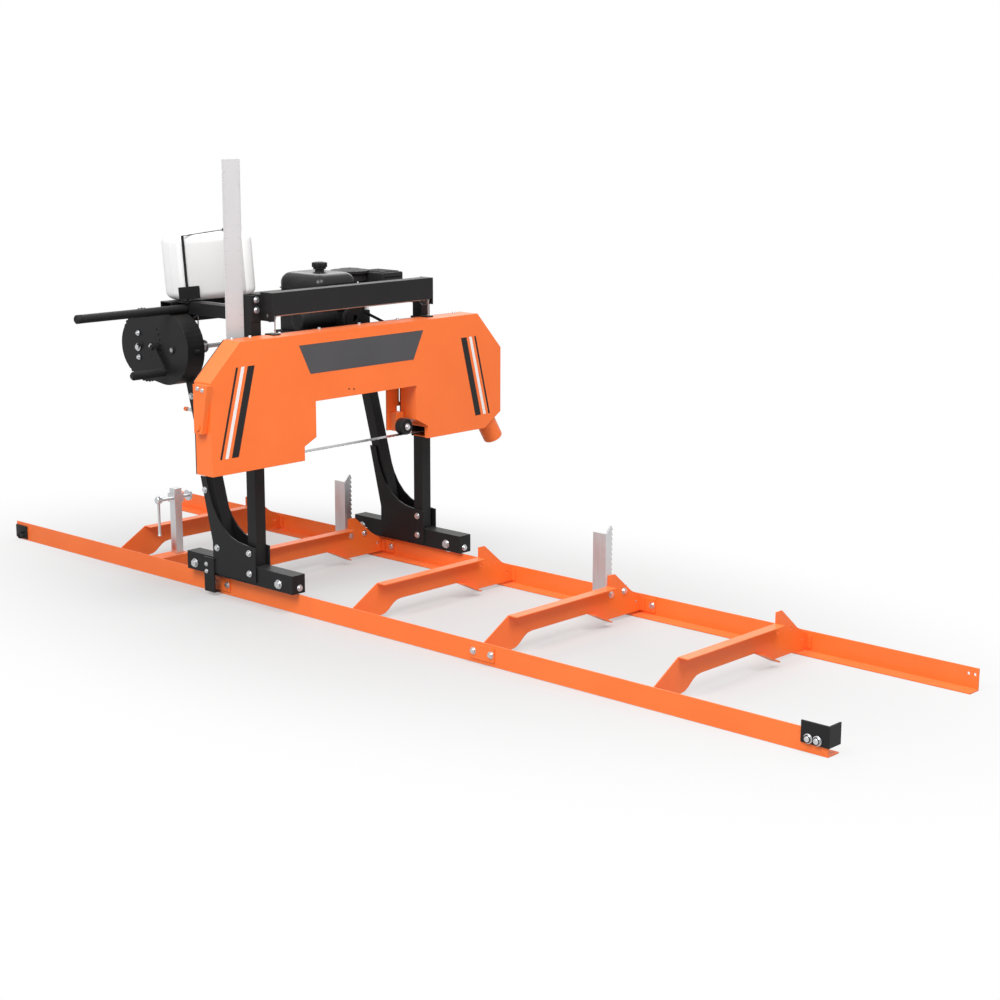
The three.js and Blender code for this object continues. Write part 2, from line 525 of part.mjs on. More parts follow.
// Lift drive housing: front plate, rim and inner plate, open where the index wheel shows
const innerFace = -legHalf - seat;
function housingOutline(inset) {
  const { z, indexX, endRadius, endX, smallRadius } = drive;
  const side = Math.PI / 2 + Math.asin((endRadius - smallRadius) / (endX - indexX));
  const shape = new THREE.Shape();
  shape.absarc(endX, z, endRadius - inset, -side, side, false);
  shape.absarc(indexX, z, smallRadius - inset, side, 2 * Math.PI - side, false);
  return shape;
}
function driveHousing() {
  const { z, indexX, crankX, crossX, plateY, plateWall, rimWall, endRadius, endX, rimStart, shaft, boss,
    bossWall, holeCircle, holeRadius, holeCount, holeSpread, plunger, plungerLength } = drive;
  const front = prismY(housingOutline(0), -plateY, plateWall - plateY, 12);
  const inner = prismY(housingOutline(0), innerFace - plateWall, innerFace, 12);
  const wallRing = cut(prismY(housingOutline(0), sink - plateY, innerFace - sink, 12),
    prismY(housingOutline(rimWall), -plateY, innerFace, 12));
  const rim = overlap(wallRing, block(rimStart, endX + 2 * endRadius, -plateY, 0, 0, 2 * z));
  const bosses = [indexX, crankX, crossX].map((x) => rod('y', boss, -plateY - bossWall, sink - plateY, x, z));
  const bores = [indexX, crankX, crossX].map((x) => rod('y', shaft + run, -plateY - overrun - bossWall, 0, x, z));
  const notch = block(rearBeam.x - seat, rearBeam.x + rearBeam.width + seat, -rearBeam.overhang - seat, 0,
    rearBeam.bottom - seat, rearBeam.top);
  const holes = [];
  for (let i = 0; i < holeCount; i += 1) {
    const angle = (i / (holeCount - 1) - half) * holeSpread;
    holes.push(rod('y', holeRadius, -plateY - overrun, plateWall - plateY + overrun,
      indexX + holeCircle * Math.cos(angle), z + holeCircle * Math.sin(angle), 8));
  }
  const latch = rod('x', plunger, endX + endRadius - plungerLength * half, endX + endRadius + plungerLength,
    (innerFace - plateY) * half, z, 10);
  return join(cut(join(front, inner, rim, ...bosses), ...bores, notch, ...holes), latch);
}
add('drive_housing', 'black', driveHousing());

// Gears in the housing: pinion on the crank, one wheel with the index disc, one on the cross shaft
const pinionPitch = (drive.crankX - drive.indexX) * gear.pinionTeeth / (gear.pinionTeeth + gear.wheelTeeth);
const wheelPitch = drive.crankX - drive.indexX - pinionPitch;
function gearAt(teeth, pitchRadius, x, phase) {
  const shape = outline(toothed(teeth, pitchRadius + gear.addendum, pitchRadius - gear.dedendum,
    gear.tipShare, gear.rootShare, phase));
  return prismY(shape, -gear.y, gear.width - gear.y).translate(x, 0, drive.z);
}
const toothHalf = Math.PI / gear.wheelTeeth;
const indexDisc = prismY(outline(toothed(index.teeth, index.radius, index.root, index.tipShare,
  index.rootShare)), -index.y, index.wall - index.y).translate(drive.indexX, 0, drive.z);
add('index_wheel', 'black', join(indexDisc, gearAt(gear.wheelTeeth, wheelPitch, drive.indexX, toothHalf),
  rod('y', drive.boss, -gear.y, index.wall - index.y, drive.indexX, drive.z),
  rod('y', drive.shaft, -drive.plateY - drive.bossWall - screwHead.height, innerFace, drive.indexX, drive.z)));
const gripPlace = [drive.crankX + crank.gripX, drive.z + crank.gripZ];
const gripStart = -crank.armY - seat;
const gripEnd = gripStart - crank.gripLength;
function crankArm() {
  const reach = Math.hypot(crank.gripX, crank.gripZ);
  const r = crank.armWidth * half;
  const bar = new THREE.Shape();
  bar.absarc(0, 0, r, Math.PI / 2, 3 * Math.PI / 2, false);
  bar.absarc(reach, 0, r, -Math.PI / 2, Math.PI / 2, false);
  const swung = prismY(bar, -crank.armY, crank.armWall - crank.armY, 8);
  swung.rotateY(-Math.atan2(crank.gripZ, crank.gripX)).translate(drive.crankX, 0, drive.z);
  return join(swung, gearAt(gear.pinionTeeth, pinionPitch, drive.crankX, 0),
    rod('y', drive.shaft, -crank.armY - screwHead.height, -crank.end, drive.crankX, drive.z),
    rod('y', crank.hub, sink - crank.armY, -drive.plateY - drive.bossWall - seat, drive.crankX, drive.z),
    rod('y', crank.gripPin, gripEnd - seat - sink, crank.armWall * half - crank.armY, ...gripPlace),
    rod('y', crank.gripHead, gripEnd - seat - crank.gripCap, gripEnd - seat, ...gripPlace));
}
add('crank_arm', 'black', crankArm());
add('crank_grip', 'rubber', turned(ring(crank.gripPin + run, crank.gripRadius, gripEnd, gripStart), 'y',
  gripPlace[0], 0, gripPlace[1], 16));

// Cross shaft with its gear and a cable drum at each side
function drumAt(y) {
  const w = cable.drumWidth * half;
  const rimEnd = w + cable.drumFlange;
  return turned([[0, -rimEnd], [cable.flange, -rimEnd], [cable.flange, -w], [cable.sheave, -w],
    [cable.sheave, w], [cable.flange, w], [cable.flange, rimEnd], [0, rimEnd]], 'y', drive.crossX, y,
  drive.z, 16);
}
const cableYs = [cable.inset, farY(cable.inset)];
add('cross_shaft', 'steel', join(
  rod('y', drive.shaft, -drive.plateY - drive.bossWall, farY(-legHalf), drive.crossX, drive.z),
  gearAt(gear.wheelTeeth, wheelPitch, drive.crossX, toothHalf), ...cableYs.map(drumAt)));

// Sheave shafts through the top arms and under the front crossbeam
function sheaveShaft(x, from) {
  const w = cable.sheaveWidth * half;
  const g = cable.sheaveGroove * half;
  const bottom = cable.sheave - cable.radius * half;
  const sheaves = cableYs.map((y) => turned([[0, -w], [cable.flange, -w], [bottom, -g], [bottom, g],
    [cable.flange, w], [0, w]], 'y', x, y, cable.sheaveZ, 16));
  return join(rod('y', cable.shaft, from, farY(from), x, cable.sheaveZ), ...sheaves);
}
add('rear_sheave_shaft', 'steel', sheaveShaft(drive.crossX, arm.wall + seat - legHalf));
add('front_sheave_shaft', 'steel', sheaveShaft(cable.frontX, frontBeam.start - frontBeam.tab));

// Lift cables: from each drum up over the rear sheave, forward and down round the front sheave
const dropX = cable.frontX + cableLift;
function cableRun(y) {
  const up = drive.crossX - cableLift;
  const high = cable.sheaveZ + cableLift;
  const route = new THREE.CurvePath();
  const at = (x, z) => new THREE.Vector3(x, y, z);
  const quarter = (cx, from, to) => {
    const curve = new THREE.Curve();
    curve.getPoint = (t) => {
      const angle = from + (to - from) * t;
      return at(cx + cableLift * Math.cos(angle), cable.sheaveZ + cableLift * Math.sin(angle));
    };
    return curve;
  };
  route.add(new THREE.LineCurve3(at(up, drive.z), at(up, cable.sheaveZ)));
  route.add(quarter(drive.crossX, Math.PI, Math.PI / 2));
  route.add(new THREE.LineCurve3(at(drive.crossX, high), at(cable.frontX, high)));
  route.add(quarter(cable.frontX, Math.PI / 2, 0));
  return new THREE.ExtrudeGeometry(roundOutline(cable.radius, cable.sides), { steps: cable.steps,
    bevelEnabled: false, extrudePath: route });
}
const lugTop = guard.top + seat + panel.wall;
['front', 'back'].forEach((side, k) => {
  add(`${side}_lift_cable`, 'steel', cableRun(cableYs[k]));
  add(`${side}_cable_drop`, 'steel', rod('z', cable.radius, lugTop + seat, cable.sheaveZ - seat, dropX,
    cableYs[k], cable.sides));
});

// Water tank on the top arm, held by a strap with a clip plate
function roundedBlock(x0, x1, y0, y1, z0, z1, round) {
  const shape = new THREE.Shape();
  const corners = [[y0 + round, z0 + round, 2], [y1 - round, z0 + round, 3], [y1 - round, z1 - round, 0],
    [y0 + round, z1 - round, 1]];
  corners.forEach(([u, v, turn]) => shape.absarc(u, v, round, turn * Math.PI / 2, (turn + 1) * Math.PI / 2,
    false));
  const bevel = round * half;
  const body = new THREE.ExtrudeGeometry(shape, { depth: x1 - x0 - 2 * bevel, bevelEnabled: true,
    bevelThickness: bevel, bevelSize: bevel, bevelOffset: -bevel, bevelSegments: 3, curveSegments: 4 });
  const turnX = new THREE.Matrix4().set(0, 0, 1, x0 + bevel, 1, 0, 0, 0, 0, 1, 0, 0, 0, 0, 0, 1);
  return body.applyMatrix4(turnX);
}
const tankFront = waterTank.x + waterTank.depth;
const tankBottom = arm.top + seat;
const tankTop = tankBottom + waterTank.height;
const strapLow = tankBottom - strap.drop;
function leanBack(geometry) {
  const shear = new THREE.Matrix4().set(1, 0, -waterTank.lean, waterTank.lean * strapLow, 0, 1, 0, 0,
    0, 0, 1, 0, 0, 0, 0, 1);
  return geometry.applyMatrix4(shear);
}
add('water_tank', 'tank', leanBack(join(
  roundedBlock(waterTank.x, tankFront, waterTank.near, waterTank.far, tankBottom, tankTop, waterTank.round),
  rod('z', waterTank.neck, tankTop - waterTank.neckHeight, tankTop + waterTank.neckHeight,
    waterTank.x + waterTank.depth * half, waterTank.far - waterTank.neckInset))));
function tankStrap() {
  const { wall, width, near, backNear, clipNear, clipFar, clipBottom, clipTop, clipWall } = strap;
  const back = waterTank.x - seat - wall;
  const front = tankFront + seat + wall;
  const far = near + width;
  const backFar = backNear + width;
  const low = strapLow;
  const top = tankTop + seat;
  const over = extrude(outline([[back, backNear], [back, backFar], [back + wall, backFar], [front, far],
    [front, near], [front - wall, near]]), wall).translate(0, 0, top);
  return join(over, block(back, back + wall, backNear, backFar, low, top + wall),
    block(front - wall, front, near, far, low, top + wall),
    block(back, rearBeam.x - seat, backNear, backFar, low, low + wall),
    block(rearBeam.x + rearBeam.width + seat, front, near, far, low, low + wall),
    block(front - sink, front + clipWall, clipNear, clipFar, clipBottom, clipTop));
}
add('tank_strap', 'black', leanBack(tankStrap()));

// Blade guard: tray open at the back, arched over the log's way
function guardOutline(inset) {
  const g = guard;
  const k = inset;
  const d = inset * half;
  return outline([[g.left + k, g.bottom + k], [g.skirt - k, g.bottom + k], [g.skirt - k, g.skirtTop + d],
    [g.throatLeft - k, g.throatSlope + d], [g.throatLeft - k, g.throatTop + k],
    [g.throatRight + k, g.throatTop + k], [g.throatRight + k, g.throatSlope + d],
    [g.rightSkirt + k, g.rightSkirtTop + d], [g.rightSkirt + k, g.bottom + k], [g.cornerY - d, g.bottom + k],
    [g.right - k, g.cornerZ + d], [g.right - k, g.rightShoulder - d], [g.rightTop - d, g.top - k],
    [g.leftTop + d, g.top - k], [g.left + k, g.leftShoulder - d]]);
}
const chamfer = Math.atan2(guard.cornerZ - guard.bottom, guard.right - guard.cornerY);
const spoutMiddle = [(guard.cornerY + guard.right) * half, (guard.bottom + guard.cornerZ) * half];
function alongChute(profile) {
  const geometry = turned(profile, 'z', 0, 0, 0, chute.sides);
  return geometry.rotateX(Math.PI + chamfer).translate(chute.x, spoutMiddle[0], spoutMiddle[1]);
}
const leverNear = guard.left - seat - lever.wall;
const leverPinX = lever.x + lever.bottomWidth * half;
const leverPinZ = lever.bottom + lever.pinLift;
function bladeGuard() {
  const slots = [guard.skirt, guard.rightSkirt].map((y) => block(guard.back - overrun,
    band.x + band.blade + guard.slotInset, y - guard.slotInset, y + guard.slotInset, guard.bottom - overrun,
    guard.slotTop));
  const spoutBore = chute.radius - chute.wall;
  const outlet = alongChute([[0, -spoutBore], [spoutBore, -spoutBore], [spoutBore, overrun], [0, overrun]]);
  const capEnd = leverNear - seat;
  const pin = rod('y', lever.pin, capEnd - lever.cap, guard.left + guard.wall, leverPinX, leverPinZ);
  const pinHead = rod('y', lever.pinHead, capEnd - lever.cap, capEnd, leverPinX, leverPinZ);
  const tray = cut(prismX(guardOutline(0), guard.back, guard.face),
    prismX(guardOutline(guard.wall), guard.back - overrun, guard.face - guard.wall), ...slots, outlet);
  return join(tray, pin, pinHead);
}
add('blade_guard', 'orange', bladeGuard());
add('sawdust_chute', 'rubber', alongChute([[chute.radius - chute.wall, seat],
  [chute.radius + chute.flangeWidth, seat], [chute.radius + chute.flangeWidth, chute.flange],
  [chute.radius, chute.flange], [chute.radius, chute.length], [chute.radius - chute.wall, chute.length],
  [chute.radius - chute.wall, seat]]));

// Head frame: back panel, post sleeves, crossbeam, shaft bearings, cable lugs, engine deck, fixed guide
const panelFace = guard.back - seat;
const panelBack = panelFace - panel.wall;
const sleeveHalf = postHalf + sleeve.gap + sleeve.wall;
const sleeveX = [post.x - sleeve.gap - sleeve.wall, post.x + post.size + sleeve.gap + sleeve.wall];
const bandMiddle = band.x + band.width * half;
const bladeX = bandMiddle - band.blade * half;
const guideRollerX = bladeX - seat - guide.flangeWall;
const guideRollerZ = band.z - band.radius + guide.roller;
function sleeveAt(y) {
  const h = sleeveHalf - sleeve.wall;
  const tube = cut(block(sleeveX[0], sleeveX[1], y - sleeveHalf, y + sleeveHalf, sleeve.bottom, sleeve.top),
    block(sleeveX[0] + sleeve.wall, sleeveX[1] - sleeve.wall, y - h, y + h, sleeve.bottom - overrun,
      sleeve.top + overrun));
  return join(tube, block(sleeveX[1] - sink, panelBack + sink, y - postHalf, y + postHalf, headBeam.bottom,
    headBeam.top));
}
function headChannel() {
  const { x, depth, bottom, top, wall } = headBeam;
  const y0 = sleeveHalf - sink;
  return cut(block(x, x + depth, y0, farY(y0), bottom, top),
    block(x - overrun, x + depth - wall, y0 - overrun, farY(y0 - overrun), bottom + wall, top - wall));
}
function engineDeck() {
  const { x, near, far, deckZ, deckWall } = engine;
  const { x: beamX, depth, bottom, top } = headBeam;
  const under = deckZ - deckWall;
  const ribs = [near, far - deckWall].map((y) => prismY(outline([[x, under], [beamX, bottom],
    [beamX + deckWall, bottom], [beamX + deckWall, deckZ], [x, deckZ]]), y, y + deckWall));
  const deck = block(x, beamX + depth, near, far, under, deckZ);
  const back = block(beamX, beamX + deckWall, near, far, top - deckWall, deckZ);
  const slot = block(belt.x - belt.slot * half, belt.x + belt.slot * half, belt.clutchY - belt.wheelRadius,
    far + overrun, bottom, deckZ + overrun);
  return cut(join(deck, back, ...ribs), slot);
}
function headFrame() {
  const b = bearing.size * half;
  const bearings = [band.leftY, band.rightY].map((y) => block(panelBack - bearing.depth, panelBack + sink,
    y - b, y + b, band.z - b, band.z + b));
  const bores = [band.leftY, band.rightY].map((y) => rod('x', band.shaft + run, engine.x, guard.face, y,
    band.z, 16));
  const lugs = cableYs.map((y) => block(panelBack, dropX + lug.reach, y - lug.width * half,
    y + lug.width * half, guard.top + seat, lugTop));
  const lugRoots = cableYs.map((y) => block(panelBack, panelFace, y - lug.width * half, y + lug.width * half,
    guard.top - sink, lugTop));
  const guideArm = block(panelBack, guide.armEnd, fixedGuide.y - fixedGuide.width * half,
    fixedGuide.y + fixedGuide.width * half, guide.armBottom, guide.armTop);
  const roller = join(rod('x', guide.axle, guide.armEnd - sink, guideRollerX + sink, fixedGuide.y, guideRollerZ),
    rod('x', guide.roller, guideRollerX, guideRollerX + guide.rollerWidth, fixedGuide.y, guideRollerZ, 16));
  return cut(join(prismX(guardOutline(0), panelBack, panelFace), sleeveAt(0), sleeveAt(rail.gauge),
    headChannel(), engineDeck(), ...bearings, ...lugs, ...lugRoots, guideArm, roller), ...bores);
}
add('head_frame', 'black', headFrame());

// Band wheels, with shafts back through their bearings and the driven pulley behind the right one
function bandWheel(y, shaftEnd) {
  const { radius, width, hub: hubRadius, hubWidth, shaft, rimDepth, web, steps } = band;
  const w = width * half;
  const h = hubWidth * half;
  const b = web * half;
  const inner = radius - rimDepth;
  return turned([[0, shaftEnd - bandMiddle], [shaft, shaftEnd - bandMiddle], [shaft, -h], [hubRadius, -h],
    [hubRadius, -b], [inner, -b], [inner, -w], [radius, -w], [radius, w], [inner, w], [inner, b],
    [hubRadius, b], [hubRadius, h], [0, h]], 'x', bandMiddle, y, band.z, steps);
}
const pulleyHalf = belt.pulleyWidth * half;
const beltHalf = belt.width * half;
function pulleyRim(radius) {
  return [[radius, -pulleyHalf], [radius - belt.gauge, -beltHalf], [radius - belt.gauge, beltHalf],
    [radius, pulleyHalf]];
}
add('idler_band_wheel', 'steel', bandWheel(band.leftY, panelBack - bearing.depth));
add('drive_band_wheel', 'steel', join(bandWheel(band.rightY, belt.x - pulleyHalf),
  turned([[0, -pulleyHalf], ...pulleyRim(belt.wheelRadius), [0, pulleyHalf]], 'x', belt.x, band.rightY,
    band.z, 32)));

// Loop round two wheels: the outline at a given clearance outside both
function loopOutline(clear, a, b, steps) {
  const along = Math.atan2(b.z - a.z, b.y - a.y);
  const tilt = Math.acos((a.r - b.r) / Math.hypot(b.y - a.y, b.z - a.z));
  const points = [];
  const arc = (c, from, to) => {
    for (let i = 0; i <= steps; i += 1) {
      const angle = from + (to - from) * i / steps;
      points.push([c.y + (c.r + clear) * Math.cos(angle), c.z + (c.r + clear) * Math.sin(angle)]);
    }
  };
  arc(a, along + tilt, along + 2 * Math.PI - tilt);
  arc(b, along - tilt, along + tilt);
  return points;
}
function loopBand(gauge, a, b, x0, x1, steps) {
  const shape = outline(loopOutline(seat + gauge, a, b, steps));
  shape.holes.push(new THREE.Path(loopOutline(seat, a, b, steps).map(([u, v]) => new THREE.Vector2(u, v))));
  return prismX(shape, x0, x1);
}
add('band_blade', 'steel', loopBand(band.gauge, { y: band.leftY, z: band.z, r: band.radius },
  { y: band.rightY, z: band.z, r: band.radius }, bladeX, bladeX + band.blade, band.steps * half));

// Engine, fuel tank and cap, clutch pulley and drive belt
const engineEnd = engine.x + engine.depth;
function engineBody() {
  const { x, near, far, deckZ, deckWall, top, headTop, headNear, headInset } = engine;
  const base = block(x + deckWall, engineEnd - deckWall, near + deckWall, far - deckWall, deckZ + seat, top);
  const cylinder = block(x + headInset, engineEnd - headInset, headNear, far, top - sink, headTop);
  const cleaner = turned([[0, headTop - sink], [airCleaner.radius, headTop - sink],
    [airCleaner.radius, headTop + airCleaner.lip], [airCleaner.radius * half, headTop + airCleaner.height],
    [0, headTop + airCleaner.height]], 'z', x + engine.depth * half, airCleaner.y, 0, 20);
  const cover = prismX(outline([[far - sink, sideCover.bottom], [sideCover.far, sideCover.bottom],
    [sideCover.far, sideCover.top - sideCover.slope], [sideCover.far - sideCover.slope, sideCover.top],
    [far - sink, sideCover.top]]), sideCover.x, sideCover.xEnd);
  const mufflerX = engineEnd - muffler.radius;
  const silencer = rod('y', muffler.radius, muffler.near, muffler.far, mufflerX, muffler.z, 16);
  const pipe = rod('y', muffler.pipe, far - deckWall - sink, muffler.pipeEnd, mufflerX, muffler.z);
  const output = rod('x', band.shaft, engineEnd - deckWall - sink, belt.x + pulleyHalf, belt.clutchY,
    belt.clutchZ);
  return join(base, cylinder, cleaner, cover, silencer, pipe, output);
}
add('engine', 'black', engineBody());
const capX = fuelTank.x + fuelTank.depth * half;
add('fuel_tank', 'black', join(roundedBlock(fuelTank.x, fuelTank.x + fuelTank.depth, fuelTank.near,
  fuelTank.far, engine.top + seat, fuelTank.top, fuelTank.round), rod('z', fuelTank.neck, fuelTank.top - fuelTank.neckHeight,
  fuelTank.top + fuelTank.neckHeight, capX, fuelCap.y)));
add('fuel_cap', 'rubber', extrude(outline(toothed(fuelCap.lobes, fuelCap.radius, fuelCap.radius - fuelCap.lobe,
  fuelCap.tipShare, fuelCap.rootShare)), fuelCap.height, 4).translate(capX, fuelCap.y,
  fuelTank.top + fuelTank.neckHeight + seat));
const clutchBore = band.shaft + run;
add('clutch_pulley', 'steel', turned([[clutchBore, -pulleyHalf], ...pulleyRim(belt.clutchRadius),
  [clutchBore, pulleyHalf], [clutchBore, -pulleyHalf]], 'x', belt.x, belt.clutchY, belt.clutchZ, 24));
add('drive_belt', 'rubber', loopBand(belt.gauge,
  { y: belt.clutchY, z: belt.clutchZ, r: belt.clutchRadius - belt.gauge },
  { y: band.rightY, z: band.z, r: belt.wheelRadius - belt.gauge }, belt.x - beltHalf, belt.x + beltHalf,
  belt.steps));

// Moving blade guide: a bracket hooked on the head channel, with a flanged roller over the blade
function guideBracket() {
  const face = headBeam.x + headBeam.depth + seat;
  const lipX = face - guide.lip;
  const plateFront = face + guide.wall;
  const capStart = guideRollerX + guide.rollerWidth + seat;
  const hanger = cut(block(face, plateFront, guide.near, guide.far, guide.slotBottom, headBeam.top + guide.wall),
    block(face - overrun, plateFront + overrun, guide.slotNear, guide.far - guide.wall,
      guide.slotBottom + guide.wall * 2, headBeam.bottom - guide.wall * 2));
  const topLip = block(lipX, face + sink, guide.near, guide.far, headBeam.top + seat, headBeam.top + guide.wall);
  const lowLip = block(lipX, face + sink, guide.near, guide.far, headBeam.bottom - guide.wall,
    headBeam.bottom - seat);
  const stem = block(face, plateFront, guide.near, guide.armNear + guide.arm, guide.armBottom,
    guide.slotBottom + sink);
  const reach = block(face, guide.armEnd, guide.armNear, guide.armNear + guide.arm, guide.armBottom,
    guide.armTop);
  const axle = rod('x', guide.axle, guide.armEnd - sink, capStart + sink, guide.y, guideRollerZ);
  const cap = rod('x', guide.cap, capStart, capStart + guide.flangeWall, guide.y, guideRollerZ);
  const knob = bolt('x', 1, plateFront, (guide.near + guide.far) * half,
    (headBeam.bottom + headBeam.top) * half, screwHead, guide.wall);
  return join(hanger, topLip, lowLip, stem, reach, axle, cap, knob);
}
add('blade_guide', 'orange', guideBracket());
const rollerBore = guide.axle + run;
add('guide_roller', 'black', turned([[rollerBore, 0], [guide.flange, 0], [guide.flange, guide.flangeWall],
  [guide.roller, guide.flangeWall], [guide.roller, guide.rollerWidth], [rollerBore, guide.rollerWidth],
  [rollerBore, 0]], 'x', guideRollerX, guide.y, guideRollerZ, 20));

// Blade tension lever on the guard's left wall
add('tension_lever', 'orange', cut(prismY(outline([[lever.x, lever.bottom],
  [lever.x + lever.bottomWidth, lever.bottom], [lever.x + lever.topWidth, lever.top], [lever.x, lever.top]]),
leverNear, guard.left - seat), rod('y', lever.pin + run, leverNear - overrun, guard.left + overrun,
  leverPinX, leverPinZ)));

// Height scale beside the front sleeve
add('height_scale', 'scale', join(
  block(ruler.x, ruler.x + ruler.wall, ruler.near, ruler.far, ruler.bottom, ruler.top),
  block(ruler.x, ruler.x + ruler.wall, ruler.far - sink, -sleeveHalf - seat, ruler.tabBottom, ruler.tabTop)));

// Origin at the middle of the footprint, on the ground
const bounds = new THREE.Box3().setFromObject(sawmill);
const middle = bounds.getCenter(new THREE.Vector3());
sawmill.position.set(-middle.x, -middle.y, -bounds.min.z);
export default sawmill;
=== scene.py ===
import json
from math import cos, pi, radians, sin

import bmesh
import bpy
from mathutils import Matrix, Vector


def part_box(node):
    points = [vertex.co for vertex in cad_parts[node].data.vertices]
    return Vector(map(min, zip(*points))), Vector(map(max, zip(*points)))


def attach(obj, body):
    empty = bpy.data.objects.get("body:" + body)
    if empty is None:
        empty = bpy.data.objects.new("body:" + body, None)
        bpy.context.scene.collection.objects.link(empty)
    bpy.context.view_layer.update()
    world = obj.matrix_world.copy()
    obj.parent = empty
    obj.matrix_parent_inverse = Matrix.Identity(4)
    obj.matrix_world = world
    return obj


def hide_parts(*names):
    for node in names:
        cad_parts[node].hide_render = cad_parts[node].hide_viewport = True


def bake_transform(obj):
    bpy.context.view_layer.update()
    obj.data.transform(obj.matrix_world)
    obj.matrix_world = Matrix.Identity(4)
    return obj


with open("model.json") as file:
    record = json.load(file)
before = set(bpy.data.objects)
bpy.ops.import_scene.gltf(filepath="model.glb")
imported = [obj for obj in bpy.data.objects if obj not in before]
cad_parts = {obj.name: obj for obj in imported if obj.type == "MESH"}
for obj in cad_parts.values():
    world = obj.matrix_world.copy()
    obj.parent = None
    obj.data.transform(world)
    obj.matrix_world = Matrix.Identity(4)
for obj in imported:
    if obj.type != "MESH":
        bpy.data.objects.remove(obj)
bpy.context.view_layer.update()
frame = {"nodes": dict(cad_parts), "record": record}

nodes = frame["nodes"]
print("stage: frame loaded,", len(nodes), "nodes")

# Camera: the photo's own place and angle
cameraSetup = {"place": (5.312, -5.2776, 2.0331), "yaw": 2.31361519, "pitch": 0.20966235, "roll": 0.00228643,
               "lens": 69.535, "sensor": 36, "farthest": 60}


def makeCamera(setup):
    data = bpy.data.cameras.new("photoCamera")
    data.lens = setup["lens"]
    data.sensor_width = setup["sensor"]
    data.clip_end = setup["farthest"]
    camera = bpy.data.objects.new("photoCamera", data)
    turn = (Matrix.Rotation(setup["yaw"] - pi / 2, 4, "Z") @ Matrix.Rotation(pi / 2 - setup["pitch"], 4, "X")
            @ Matrix.Rotation(setup["roll"], 4, "Z"))
    camera.matrix_world = Matrix.Translation(setup["place"]) @ turn
    bpy.context.scene.collection.objects.link(camera)
    bpy.context.scene.camera = camera


makeCamera(cameraSetup)

# Lights: a soft sky all round and three large panels
lightSetup = {"skyStrength": 0.46, "skyColor": (1.0, 1.0, 1.0, 1), "mirroredShare": 0.6}
panelSetup = {
    "frontPanel": {"place": (1.35, -5.9, 6.6), "target": (0, 0, 0.5), "size": 4.0, "power": 560},
    "sidePanel": {"place": (5.0, -0.9, 7.5), "target": (0, 0, 0.6), "size": 4.0, "power": 420},
    "rearPanel": {"place": (-4.5, 4.5, 5.0), "target": (-0.4, 0, 0.5), "size": 4.5, "power": 130},
}


def makePanel(name, panel):
    data = bpy.data.lights.new(name, "AREA")
    data.shape = "SQUARE"
    data.size = panel["size"]
    data.energy = panel["power"]
    light = bpy.data.objects.new(name, data)
    aim = Vector(panel["target"]) - Vector(panel["place"])
    light.matrix_world = Matrix.Translation(panel["place"]) @ aim.to_track_quat("-Z", "Y").to_matrix().to_4x4()
    bpy.context.scene.collection.objects.link(light)


# Each input gets its link or its plain value
def feed(tree, node, values):
    for key, value in values.items():
        if isinstance(value, bpy.types.NodeSocket):
            tree.links.new(value, node.inputs[key])
        else:
            node.inputs[key].default_value = value


def mathNode(tree, operation, *values, clamp=False):
    node = tree.nodes.new("ShaderNodeMath")
    node.operation = operation
    node.use_clamp = clamp
    feed(tree, node, dict(enumerate(values)))
    return node.outputs["Value"]


def vectorMath(tree, operation, *values):
    node = tree.nodes.new("ShaderNodeVectorMath")
    node.operation = operation
    feed(tree, node, dict(enumerate(values)))
    return node.outputs


# How much of the white studio a ray meets: all when seen or let through, a share when mirrored
def seenShare(tree, lightPath):
    direct = mathNode(tree, "ADD", lightPath.outputs["Is Camera Ray"], lightPath.outputs["Is Transmission Ray"])
    glossy = mathNode(tree, "MULTIPLY", lightPath.outputs["Is Glossy Ray"], lightSetup["mirroredShare"])
    return mathNode(tree, "ADD", direct, glossy, clamp=True)


# One shader where the share is nought, the other where it is one
def mixShaders(tree, share, first, second, surface):
    mix = tree.nodes.new("ShaderNodeMixShader")
    feed(tree, mix, {0: share, 1: first, 2: second})
    tree.links.new(mix.outputs["Shader"], surface)


def makeSky(setup):
    world = bpy.data.worlds.new("studioSky")
    bpy.context.scene.world = world
    world.use_nodes = True
    tree = world.node_tree
    tree.nodes.clear()
    output = tree.nodes.new("ShaderNodeOutputWorld")
    lightPath = tree.nodes.new("ShaderNodeLightPath")
    seen = tree.nodes.new("ShaderNodeBackground")
    sky = tree.nodes.new("ShaderNodeBackground")
    feed(tree, seen, {"Color": (1, 1, 1, 1)})
    feed(tree, sky, {"Color": setup["skyColor"], "Strength": setup["skyStrength"]})
    mixShaders(tree, seenShare(tree, lightPath), sky.outputs["Background"], seen.outputs["Background"],
               output.inputs["Surface"])


makeSky(lightSetup)
for panelName, panel in panelSetup.items():
    makePanel(panelName, panel)
bpy.context.scene.view_settings.view_transform = "Standard"
print("stage: camera and lights")

# Shader node groups shared by the materials. Each pair is a noise's contrast and offset
effectLook = {"wornPatches": (3.2, -1.35), "edgeGain": 7.0, "clouds": (1.6, -0.45), "streaks": (0.22, -0.11),
              "upwardFaces": (1.6, -0.6), "dustRoughness": 0.5}
floatKind, colorKind, vectorKind = "NodeSocketFloat", "NodeSocketColor", "NodeSocketVector"


def newGroup(name, inputs, outputs):
    group = bpy.data.node_groups.new(name, "ShaderNodeTree")
    for label, kind, value in inputs:
        socket = group.interface.new_socket(label, in_out="INPUT", socket_type=kind)
        socket.default_value = value
    for label, kind in outputs:
        group.interface.new_socket(label, in_out="OUTPUT", socket_type=kind)
    return group, group.nodes.new("NodeGroupInput"), group.nodes.new("NodeGroupOutput")


